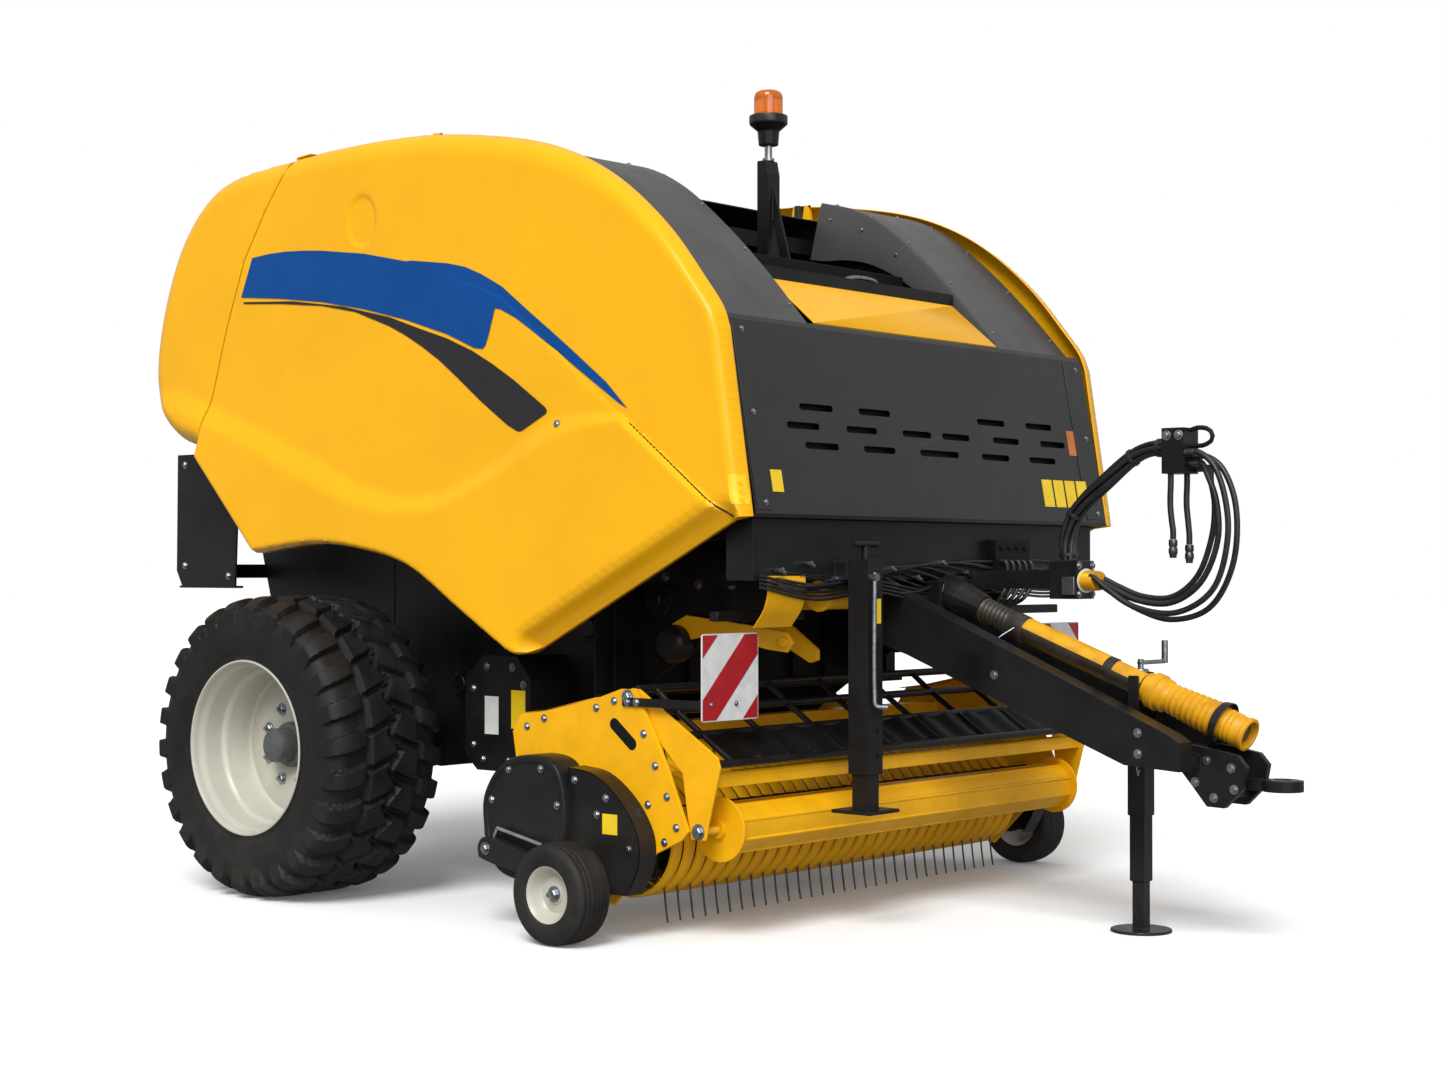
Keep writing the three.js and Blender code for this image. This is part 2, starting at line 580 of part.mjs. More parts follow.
// ---- hose carrier and hoses ----
const holder = { x0: 2420, x1: 2530, z0: 1085, z1: 1215 };
const hook = { x0: 2850, x1: 2930, z0: 1500, z1: 1650 };
add('hose_beam', join(
  plate([
    [beam.x1 + GAP, 1118], [holder.x0 + 1, 1120], [holder.x0 + 1, 1185], [beam.x1 + GAP, 1180],
  ], HOSE_Y - 35, HOSE_Y + 35),
  box(holder.x0, holder.x1, HOSE_Y - 55, HOSE_Y + 55, holder.z0, holder.z1),
), BLACK, 0.4, 0.4);
add('hose_arm', bent([
  [2462, HOSE_Y, holder.z1 + GAP], [2462, HOSE_Y, 1240], [2462, HOSE_Y, 1290], [2500, HOSE_Y, 1385],
  [2620, HOSE_Y, 1490], [2730, HOSE_Y, 1568], [2790, HOSE_Y, 1588], [2820, HOSE_Y, 1588],
  [hook.x0 - GAP, HOSE_Y, 1588],
], 32, 18, 10), BLACK, 0.6, 0.2);
add('hose_hook', join(
  box(hook.x0, hook.x1, HOSE_Y - 50, HOSE_Y + 50, hook.z0, hook.z1),
  bent([
    [2920, HOSE_Y, 1640], [2960, HOSE_Y, 1650], [3000, HOSE_Y, 1640], [3010, HOSE_Y, 1612],
    [2980, HOSE_Y, 1592], [2920, HOSE_Y, 1592],
  ], 8, 12, 8),
), BLACK, 0.5, 0.3);

// Hanging hoses: each leaves the holder forwards, hangs in a loop and goes back into the hook.
const HOSE_R = 10;
const hoseLoops = [
  {
    y: 160, from: 1160, to: 1568,
    by: [[2640, 1118], [2740, 1062], [2900, 1045], [3030, 1120], [3085, 1290], [3070, 1440], [3030, 1530]],
  },
  {
    y: 186, from: 1146, to: 1533,
    by: [[2630, 1128], [2730, 1085], [2860, 1075], [2970, 1140], [3035, 1280], [3030, 1410], [2998, 1495]],
  },
  {
    y: 212, from: 1132, to: 1556,
    by: [[2630, 1104], [2720, 1055], [2850, 1020], [2990, 1060], [3075, 1200], [3085, 1400], [3034, 1520]],
  },
  {
    y: 238, from: 1152, to: 1518,
    by: [[2630, 1130], [2730, 1095], [2840, 1095], [2930, 1160], [2985, 1290], [2996, 1400], [2984, 1470]],
  },
];
const straightOut = 24; // a hose leaves and enters its clamps straight
hoseLoops.forEach(({ y, from, to, by }, i) => {
  const x0 = holder.x1 + GAP;
  const x1 = hook.x1 + GAP;
  const route = [
    [x0, from], [x0 + straightOut, from], [x0 + 2 * straightOut, from], ...by,
    [x1 + 2 * straightOut, to], [x1 + straightOut, to], [x1, to],
  ];
  add(`hose_loop_${i + 1}`, bent(route.map(([x, z]) => [x, y, z]), HOSE_R, 32), BLACK, 0.6, 0);
});
const hoseEnds = [
  { x: 2872, y: 172, foot: 1285 },
  { x: 2902, y: 226, foot: 1268 },
];
hoseEnds.forEach(({ x, y, foot }, i) => {
  const heights = [hook.z0 - GAP, hook.z0 - 30, 1400, 1340, foot + 30, foot];
  const lean = [0, 0, -2, 4, 8, 8];
  add(`hose_end_${i + 1}`, bent(heights.map((z, k) => [x + lean[k], y, z]), HOSE_R, 8), BLACK, 0.6, 0);
  add(`coupler_${i + 1}`, rod([x + 8, y, foot - 62], [x + 8, y, foot - GAP], 13, 15, 12), 0x55585b, 0.3, 0.8);
});

// ---- beacon ----
const BEACON_X = 1300;
const beaconLight = [BEACON_X, 0];
const postTop = 2690;
const ring = ([x, y], profile, sides) => {
  const g = lathe(profile, sides);
  g.rotateX(Math.PI / 2);
  g.translate(x, y, 0);
  return asSolid(g);
};
add('beacon_mast', join(
  plate([
    [BEACON_X - 26, 2150 + GAP], [BEACON_X + 26, 2150 + GAP], [BEACON_X + 26, 2640], [BEACON_X + 16, postTop],
    [BEACON_X - 26, postTop],
  ], -34, 34),
  plate([[BEACON_X + 20, 2620], [BEACON_X + 20, 2500], [1400, 2150 + GAP], [1450, 2150 + GAP]], -6, 6),
  ring(beaconLight, [
    [0, postTop - 10], [12, postTop - 10], [12, 2745], [36, 2748], [40, 2800], [70, 2826], [70, 2858],
    [0, 2858],
  ], 20),
), BLACK, 0.4, 0.4);
add('beacon_dome', ring(beaconLight, [
  [0, 2858 + GAP], [54, 2858 + GAP], [54, 2930], [44, 2949], [0, 2951],
], 20), 0xf07010, 0.2, 0);

// ---- pick-up ----
const [reelX, reelZ] = REEL;
const guardPinR = 14;
const guardHole = crossRod(GUARD_PIVOT, -2000, 0, boreFor(guardPinR));
const sidePlate = cut(plate([
  [1090, 640], [1130, 700], [1244, 715], [1480, 765], [1590, 800], [1650, 800], [1700, 720], [1790, 560],
  [1880, 360], [1850, 330], [1740, 280], [1560, 100], [1300, 200], [1130, 420],
], -PLATE_Y, -PLATE_Y + PLATE_T), guardHole);
const pivotArm = cut(
  plate([
    [960, 560], [960, 640], [1010, 670], [1290, 670], [1290, 592], [1200, 592], [1040, 540],
  ], -wallOut - 60, -wallOut - 40),
  crossRod(PICKUP_PIVOT, -2000, 2000, boreFor(pickupPinR)),
);
const beamX = 1250;
add('pickup_frame', join(
  both(join(sidePlate, pivotArm)),
  box(beamX - 35, beamX + 35, -PLATE_Y + 1, PLATE_Y - 1, 590, 650),
), YELLOW, 0.4, 0.2);

const bandOutline = () => {
  const s = new THREE.Shape();
  const start = 1.75;
  const end = -2.1;
  s.absarc(reelX, reelZ, BAND_R, start, end, true);
  s.lineTo(reelX + (BAND_R - BAND_T) * Math.cos(end), reelZ + (BAND_R - BAND_T) * Math.sin(end));
  s.absarc(reelX, reelZ, BAND_R - BAND_T, end, start, false);
  s.closePath();
  return s;
};
const pitch = (2 * REEL_HALF - BAND_W) / (BAND_COUNT - 1);
const bands = [];
for (let i = 0; i < BAND_COUNT; i++) {
  const y = -REEL_HALF + i * pitch;
  bands.push(slab(bandOutline(), y, y + BAND_W, { curveSegments: 4 }));
}
const bandTop = [reelX + BAND_R * Math.cos(1.75), reelZ + BAND_R * Math.sin(1.75)];
const bandFoot = [reelX + BAND_R * Math.cos(-2.1), reelZ + BAND_R * Math.sin(-2.1)];
const betweenPlates = PLATE_Y - PLATE_T - GAP;
const bandSeat = 590 - GAP; // under the pick-up's cross beam
add('stripper_bands', join(
  ...bands,
  plate([
    [bandTop[0] + 6, bandTop[1] - 1], [bandTop[0] + 6, bandTop[1] - 6], [1290, bandSeat - 6],
    [1216, bandSeat - 6], [1216, bandSeat], [1290, bandSeat],
  ], -betweenPlates, betweenPlates),
  box(bandFoot[0] - 12, bandFoot[0] + 10, -betweenPlates, betweenPlates, bandFoot[1] - 2, bandFoot[1] + 12),
), YELLOW, 0.4, 0.2);

const reelBars = [];
for (let i = 0; i < 4; i++) {
  const a = Math.PI / 4 + (i * Math.PI) / 2;
  const bar = [reelX + 150 * Math.cos(a), reelZ + 150 * Math.sin(a)];
  reelBars.push(crossRod(bar, -REEL_HALF, REEL_HALF, 14, 6));
}
// Square plates carry the four bars, with their corners on the bars' lines.
const spiderHalf = 124;
const spiders = [-REEL_HALF, -REEL_HALF / 3, REEL_HALF / 3 - 10, REEL_HALF - 10].map((y) =>
  box(reelX - spiderHalf, reelX + spiderHalf, y, y + 10, reelZ - spiderHalf, reelZ + spiderHalf));
add('tine_reel', join(
  crossRod(REEL, -betweenPlates, betweenPlates, 45),
  ...reelBars,
  ...spiders,
), 0x2a2b2d, 0.5, 0.5);

// Drive cover, wheel shield and wheel arm on each side of the pick-up.
const armY = -GAUGE_OUT_Y + GAUGE_W + RUNNING_GAP;
addPair('gauge_carrier', join(
  plate([
    [1060, 300], [1065, 430], [1150, 545], [1300, 580], [1400, 550], [1445, 420], [1410, 230], [1300, 165],
    [1130, 185],
  ], armY + 35, -PLATE_Y - GAP),
  plate([
    [1430, 545], [1540, 530], [1700, 400], [1745, 330], [1740, 230], [1690, 150], [1430, 150],
  ], -1180, -PLATE_Y - GAP),
  plate([[1080, 230], [1080, 290], [1120, 300], [1560, 195], [1575, 160], [1545, 130]], armY, armY + 36),
  crossRod(GAUGE, -GAUGE_OUT_Y + 40, armY + 1, 15),
), BLACK, 0.4, 0.3);
const gaugeR = GAUGE[1];
const gaugeIn = GAUGE_OUT_Y - GAUGE_W;
const gaugeRimR = 88;
addPair('gauge_tyre', turned([
  [gaugeRimR, -GAUGE_OUT_Y + 8], [140, -GAUGE_OUT_Y + 2], [gaugeR - 12, -GAUGE_OUT_Y + 14],
  [gaugeR, -GAUGE_OUT_Y + 40],
  [gaugeR, -gaugeIn - 40], [gaugeR - 12, -gaugeIn - 14], [140, -gaugeIn - 2], [gaugeRimR, -gaugeIn - 8],
], GAUGE, GAUGE_SIDES), 0x1a1a1b, 0.9, 0);
addPair('gauge_rim', turned([
  [0, -GAUGE_OUT_Y + 12], [24, -GAUGE_OUT_Y + 12], [26, -GAUGE_OUT_Y + 36], [70, -GAUGE_OUT_Y + 30],
  [gaugeRimR - GAP, -GAUGE_OUT_Y + 5], [gaugeRimR - GAP, -gaugeIn - 5], [70, -gaugeIn - 30],
  [26, -gaugeIn - 36], [26, -gaugeIn - 6], [15 + GAP, -gaugeIn - 6],
  [15 + GAP, -GAUGE_OUT_Y + 40 - GAP], [0, -GAUGE_OUT_Y + 40 - GAP],
], GAUGE, GAUGE_SIDES), 0xe8e6df, 0.45, 0.1);

// ---- wind guard with its roller, and the crop guide above it ----
const [guardX, guardZ] = GUARD_PIVOT;
const [rollerX, rollerZ] = ROLLER;
const guardArmY = PLATE_Y - PLATE_T - RUNNING_GAP; // outer side of the arms, inside the side plates
const rollerPinR = 14;
const guardArm = plate([
  [guardX - 25, guardZ], [guardX, guardZ + 28], [guardX + 35, guardZ + 25], [1985, 598], [1996, 565],
  [rollerX + 40, rollerZ + 20], [rollerX + 30, rollerZ - 25], [rollerX - 30, rollerZ - 25],
  [rollerX - 45, rollerZ + 40], [1840, 540],
], -guardArmY, -guardArmY + 8);
const guardPin = crossRod(GUARD_PIVOT, -PLATE_Y, -guardArmY + 1, guardPinR);
add('wind_guard', join(
  both(cut(join(guardArm, guardPin), crossRod(ROLLER, -2000, 2000, boreFor(rollerPinR)))),
  plate([
    [1900, 545], [1960, 530], [1962, 500], [1950, 500], [1945, 522], [1898, 537],
  ], -guardArmY + 1, guardArmY - 1),
), YELLOW, 0.4, 0.2);
add('wind_roller', join(
  crossRod(ROLLER, -ROLLER_HALF, ROLLER_HALF, ROLLER_R, 8),
  both(crossRod(ROLLER, -ROLLER_HALF - 8, -ROLLER_HALF + 1, ROLLER_END_R, 24)),
  crossRod(ROLLER, -guardArmY + 1, guardArmY - 1, rollerPinR),
), YELLOW, 0.4, 0.2);
const guideTubes = [[1640, 800], [1800, 700], [1975, 575]];
const guideHalf = guardArmY - 8 - GAP;
const guideBars = [-990, -600, -200, 200, 600, 990].map((y) => plate([
  [1632, 806], [1648, 808], [1806, 712], [1985, 582], [1975, 568], [1795, 692],
], y - 8, y + 8));
add('crop_guide', join(
  ...guideTubes.map((p) => crossRod(p, -guideHalf, guideHalf, 14, 10)),
  ...guideBars,
), BLACK, 0.4, 0.4);

// ---- warning boards, lift arms and the cross tube ----
const BOARD_X = 1940;
addPair('warning_board', join(
  box(BOARD_X - 2, BOARD_X + 2, -1106, -830, 707, 983),
  box(1600, BOARD_X - 1, -PLATE_Y - GAP - 8, -PLATE_Y - GAP, 745, 775),
), 0xd8d8d8, 0.4, 0);
const liftArm = (y) => plate([
  [1660, 1060], [1660, 1000], [1700, 945], [1850, 870], [1880, 880], [1880, 915], [1740, 1010], [1740, 1060],
], y - 10, y + 10);
add('lift_arms', join(
  crossRod([1690, 1092], -wallOut + WALL + GAP, wallOut - WALL - GAP, 48, 16),
  liftArm(-440),
  liftArm(440),
), YELLOW, 0.4, 0.2);

const machine = new THREE.Group();
machine.add(baler);
baler.position.x = (LENGTH_REAR - LENGTH_FRONT) / 2;

export default machine;
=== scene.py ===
# The looks of a towed round baler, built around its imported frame.
# Metres. X in the numbers below counts from the main axle, and make() shifts it to the middle of the machine.
import math

import bmesh
import bpy
import numpy as np
from bpy.props import FloatProperty, FloatVectorProperty, IntProperty, PointerProperty
from bpy.types import Operator, Panel, PropertyGroup
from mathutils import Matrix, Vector
from mathutils.geometry import delaunay_2d_cdt


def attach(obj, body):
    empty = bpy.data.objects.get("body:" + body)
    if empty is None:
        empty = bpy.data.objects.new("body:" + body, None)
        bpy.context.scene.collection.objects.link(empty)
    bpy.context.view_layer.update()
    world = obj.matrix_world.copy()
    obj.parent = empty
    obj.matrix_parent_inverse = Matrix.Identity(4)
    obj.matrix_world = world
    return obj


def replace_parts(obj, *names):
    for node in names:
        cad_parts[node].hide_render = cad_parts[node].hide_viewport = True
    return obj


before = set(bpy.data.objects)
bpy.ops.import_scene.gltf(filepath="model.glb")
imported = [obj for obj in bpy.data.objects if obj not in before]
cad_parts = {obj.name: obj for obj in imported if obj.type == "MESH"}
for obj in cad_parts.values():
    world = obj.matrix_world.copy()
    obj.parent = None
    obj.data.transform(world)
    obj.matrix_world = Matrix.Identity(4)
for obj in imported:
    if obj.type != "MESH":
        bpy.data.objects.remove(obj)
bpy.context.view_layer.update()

bl_info = {
    "name": "Round baler",
    "version": (1, 0, 0),
    "blender": (4, 5, 0),
    "location": "View3D > Sidebar > Baler",
    "description": "Builds the looks of a towed round baler around its frame",
    "category": "Object",
}

AXLE_X = -1.235  # the main axle, from the middle of the machine
SIDES = (("right", -1), ("left", 1))


# ---------------------------------------------------------------- sizes and colours


def linear(code):
    """An sRGB hex colour as linear red, green, blue and alpha."""
    parts = [int(code[i:i + 2], 16) / 255 for i in (1, 3, 5)]
    return tuple(c / 12.92 if c <= 0.04045 else ((c + 0.055) / 1.055) ** 2.4 for c in parts) + (1.0,)


class BalerSizes(PropertyGroup):
    tread_depth: FloatProperty(
        name="Tread depth", description="Height of the lugs of the main tyres", default=0.024, unit="LENGTH")
    tyre_lugs: IntProperty(name="Tyre lugs", description="Lugs round one shoulder of a main tyre", default=26,
                           min=8)
    bands: IntProperty(name="Bands", description="Stripper bands across the pick-up", default=32, min=4)


class BalerColours(PropertyGroup):
    yellow: FloatVectorProperty(
        name="Yellow", description="Covers and pick-up", subtype="COLOR", size=3,
        default=linear("#f6b410")[:3])
    blue: FloatVectorProperty(
        name="Blue", description="Swoosh on the side covers", subtype="COLOR", size=3,
        default=linear("#05488f")[:3])
    grey: FloatVectorProperty(
        name="Grey", description="Front panel and fenders", subtype="COLOR", size=3,
        default=linear("#272727")[:3])
    cream: FloatVectorProperty(
        name="Cream", description="Wheel rims", subtype="COLOR", size=3, default=linear("#bfbcaf")[:3])


# ---------------------------------------------------------------- materials

MATERIALS = {}


def shade(colour, amount):
    """The same colour, darker by that factor."""
    return tuple(c * amount for c in colour[:3]) + (1.0,)


def add_node(tree, kind, inputs=None, **settings):
    """Adds a node, sets its settings, and sets or links its inputs."""
    made = tree.nodes.new("ShaderNode" + kind)
    for key, value in settings.items():
        setattr(made, key, value)
    for key, value in (inputs or {}).items():
        if isinstance(value, bpy.types.NodeSocket):
            tree.links.new(value, made.inputs[key])
        else:
            made.inputs[key].default_value = value
    return made


def finish_of(name, colour, worn, grain_mm, roughness, bump_mm=0.1, spread=(0.35, 0.65), dust=None,
              **sockets):
    """A surface whose colour wanders from colour to worn in patches of grain_mm, with a fine bump."""
    material = bpy.data.materials.new(name)
    material.use_nodes = True
    tree = material.node_tree
    tree.nodes.clear()
    place = add_node(tree, "TexCoord")
    patches = add_node(
        tree, "TexNoise", {"Vector": place.outputs["Object"], "Scale": 1000 / grain_mm, "Detail": 5.0,
                           "Roughness": 0.6})
    amount = add_node(tree, "MapRange", {
        "Value": patches.outputs["Fac"], "From Min": spread[0], "From Max": spread[1]})
    tint = add_node(tree, "Mix", {"Factor": amount.outputs[0], "A": colour, "B": worn}, data_type="RGBA")
    colour_out = tint.outputs["Result"]
    if dust:
        # Dry dust lies thickest near the ground.
        height = add_node(tree, "SeparateXYZ", {"Vector": place.outputs["Object"]})
        low = add_node(tree, "MapRange", {
            "Value": height.outputs["Z"], "From Min": dust[1], "From Max": 0.0, "To Max": 0.10})
        grit = add_node(tree, "Math", {0: low.outputs[0], 1: patches.outputs["Fac"]}, operation="MULTIPLY")
        tint = add_node(tree, "Mix", {"Factor": grit.outputs[0], "A": colour_out, "B": dust[0]},
                        data_type="RGBA")
        colour_out = tint.outputs["Result"]
    gloss = add_node(tree, "MapRange", {
        "Value": patches.outputs["Fac"], "From Min": 0.3, "From Max": 0.7,
        "To Min": roughness[0], "To Max": roughness[1]})
    skin = add_node(tree, "TexNoise", {"Vector": place.outputs["Object"],
                                       "Scale": 1000 / max(3.0, grain_mm / 12),
                                       "Detail": 2.0})
    bump = add_node(tree, "Bump", {"Height": skin.outputs["Fac"], "Strength": 0.25,
                                   "Distance": bump_mm / 1000})
    shader = add_node(tree, "BsdfPrincipled", {
        "Base Color": colour_out, "Roughness": gloss.outputs[0], "Normal": bump.outputs[0], **sockets})
    add_node(tree, "OutputMaterial", {"Surface": shader.outputs[0]})
    return material


def material_set():
    """Every finish on the machine, by its common name."""
    c = bpy.context.scene.baler_colours
    yellow, blue, grey, cream = (tuple(v) + (1.0,) for v in (c.yellow, c.blue, c.grey, c.cream))
    dust = (linear("#8f8678"), 0.5)
    return {
        # Thermoformed ABS shell: smooth, glossy, faintly wavy like orange peel.
        "shell": finish_of("moulded_abs_yellow", yellow, shade(yellow, 0.93), 420, (0.24, 0.32), 0.12,
                           **{"Coat Weight": 0.12, "Coat Roughness": 0.10, "Specular IOR Level": 0.18}),
        # Powder coat over pressed steel: a bit duller and more uneven than the shells.
        "yellow": finish_of("powder_coat_yellow", shade(yellow, 1.0), shade(yellow, 0.86), 130, (0.3, 0.46),
                            0.25,
                            **{"Specular IOR Level": 0.22}),
        # Black chassis paint: satin, with greyer rubbed patches.
        "black": finish_of("chassis_paint_black", linear("#121213"), linear("#1c1c1c"), 160, (0.28, 0.46),
                           0.3,
                           dust=dust, **{"Specular IOR Level": 0.25}),
        # Deep black inside the machine: black paint darkened further as painted shade, where little light
        # comes.
        "inner": finish_of("inner_black_and_painted_shade", linear("#0c0c0d"), linear("#151516"), 200, (0.4, 0.6), 0.4,
                           **{"Specular IOR Level": 0.15}),
        # Cast hub cap under grey enamel: a little grainy.
        "grey_hub": finish_of("hub_enamel_grey", linear("#55575a"), linear("#454749"), 60, (0.35, 0.5), 0.3),
        # Dark grey satin sheet: fine even sheen.
        "grey": finish_of("satin_paint_grey", grey, shade(grey, 0.85), 350, (0.34, 0.44), 0.08),
        # Moulded fender sheet: a lighter grey than the panel, which is painted sheen for its upward faces, with
        # a wide soft sheen.
        "fender": finish_of("fender_grey_painted_sheen", linear("#474747"), linear("#404040"), 300, (0.36, 0.46),
                            0.1),
        # Rim enamel: cream white with a soft gloss.
        "cream": finish_of("rim_enamel_cream", cream, shade(cream, 0.9), 180, (0.28, 0.42), 0.1),
        # Vulcanised tread rubber: nearly black and dull, greyed by dust in patches.
        "tyre": finish_of("tread_rubber", linear("#0f0f0f"), linear("#1c1b1a"), 90, (0.5, 0.72), 0.6,
                          dust=dust,
                          **{"Specular IOR Level": 0.3}),
        # Smooth hose rubber: black with a soft long highlight.
        "hose": finish_of("hose_rubber", linear("#17171a"), linear("#232325"), 60, (0.3, 0.45), 0.2),
        # Zinc plated steel: pale grey with a bluish cast, used for bolts and pins.
        "zinc": finish_of("zinc_plated_steel", linear("#a9adb2"), linear("#7f858c"), 14, (0.25, 0.42), 0.1,
                          Metallic=1.0),
        # Ground and hard chromed rod: bright, with short soft marks.
        "chrome": finish_of("hard_chrome", linear("#c6c9cc"), linear("#aeb2b6"), 40, (0.08, 0.16), 0.02,
                            Metallic=1.0),
        # Oiled spring steel tines: dark brownish grey.
        "tine": finish_of("spring_steel", linear("#57534e"), linear("#3b3733"), 30, (0.35, 0.5), 0.1,
                          Metallic=0.9),
        # Worn steel of the shaft and couplers.
        "steel": finish_of("turned_steel", linear("#70726f"), linear("#4c4d4c"), 25, (0.3, 0.5), 0.1,
                           Metallic=1.0),
        # Yellow polyethylene of the shaft guard: waxy and soft in its gloss.
        "guard": finish_of("polyethylene_yellow", linear("#e6a806"), linear("#c98d05"), 60, (0.38, 0.55), 0.3,
                           **{"Subsurface Weight": 0.05, "Subsurface Radius": (0.01, 0.006, 0.002)}),
        # Dark brown-black tube of the shaft guard.
        "tube": finish_of("polyethylene_dark", linear("#2a251f"), linear("#3a342b"), 120, (0.3, 0.45), 0.1),
        # Printed vinyl, left blank.
        "vinyl_yellow": finish_of("blank_vinyl_yellow", linear("#f4cf1c"), linear("#e6c018"), 80, (0.3, 0.4),
                                  0.05),
        "vinyl_white": finish_of("blank_vinyl_white", linear("#d9d9d5"), linear("#c6c6c2"), 80, (0.3, 0.4),
                                 0.05),
        "vinyl_orange": finish_of("blank_vinyl_orange", linear("#c46f2e"), linear("#b06226"), 60, (0.3, 0.4),
                                  0.05),
        "vinyl_blue": finish_of("cast_vinyl_blue", blue, shade(blue, 0.9), 300, (0.28, 0.36), 0.05,
                                **{"Specular IOR Level": 0.15}),
        "vinyl_grey": finish_of("cast_vinyl_grey", linear("#2e2e30"), linear("#2a2a2c"), 300, (0.32, 0.42),
                                0.05,
                                **{"Specular IOR Level": 0.15}),
        # Reflective sheeting of the warning boards: slightly pearly.
        "reflect_red": finish_of("reflective_sheeting_red", linear("#b01822"), linear("#9c141d"), 30,
                                 (0.3, 0.4), 0.05),
        "reflect_white": finish_of("reflective_sheeting_white", linear("#dcdcdc"), linear("#cccccd"), 30,
                                   (0.3, 0.4),
                                   0.05),
        # Injection moulded polycarbonate lens: clear orange that lets the lamp show through.
        "lens": finish_of("polycarbonate_orange", linear("#f58a1f"), linear("#ee7a12"), 30, (0.05, 0.1), 0.1,
                          **{"Transmission Weight": 0.55, "IOR": 1.58}),
        # Frosted reflector inside the beacon.
        "lamp": finish_of("beacon_reflector", linear("#ffb257"), linear("#e98a2b"), 8, (0.3, 0.4), 0.2),
    }


# ---------------------------------------------------------------- mesh tools


def smooth(points, steps=8):
    """A curved line through points, with steps to each stretch."""
    p = np.array(points, float)
    p = np.vstack([2 * p[0] - p[1], p, 2 * p[-1] - p[-2]])
    line = []
    for a, b, c, d in zip(p, p[1:], p[2:], p[3:]):
        # Each stretch takes the square root of its length in time, so that the line never loops.
        ta, tb, tc = (max(np.linalg.norm(v - u), 1e-9) ** 0.5 for u, v in ((a, b), (b, c), (c, d)))
        m0 = (b - a) / ta - (c - a) / (ta + tb) + (c - b) / tb
        m1 = (c - b) / tb - (d - b) / (tb + tc) + (d - c) / tc
        for t in np.linspace(0, 1, steps, endpoint=False):
            line.append((2 * t ** 3 - 3 * t ** 2 + 1) * b + (t ** 3 - 2 * t ** 2 + t) * tb * m0
                        + (3 * t ** 2 - 2 * t ** 3) * c + (t ** 3 - t ** 2) * tb * m1)
    line.append(p[-2])
    return np.array(line)


def dense(points, step):
    """A line with a point at least every step."""
    p = np.array(points, float)
    line = [p[0]]
    for a, b in zip(p[:-1], p[1:]):
        n = max(1, math.ceil(np.linalg.norm(b - a) / step))
        line += [a + (b - a) * k / n for k in range(1, n + 1)]
    return np.array(line)


def step_up(x, low, high):
    """0 below low, 1 above high, and smooth between."""
    t = np.clip((x - low) / (high - low), 0, 1)
    return t * t * (3 - 2 * t)


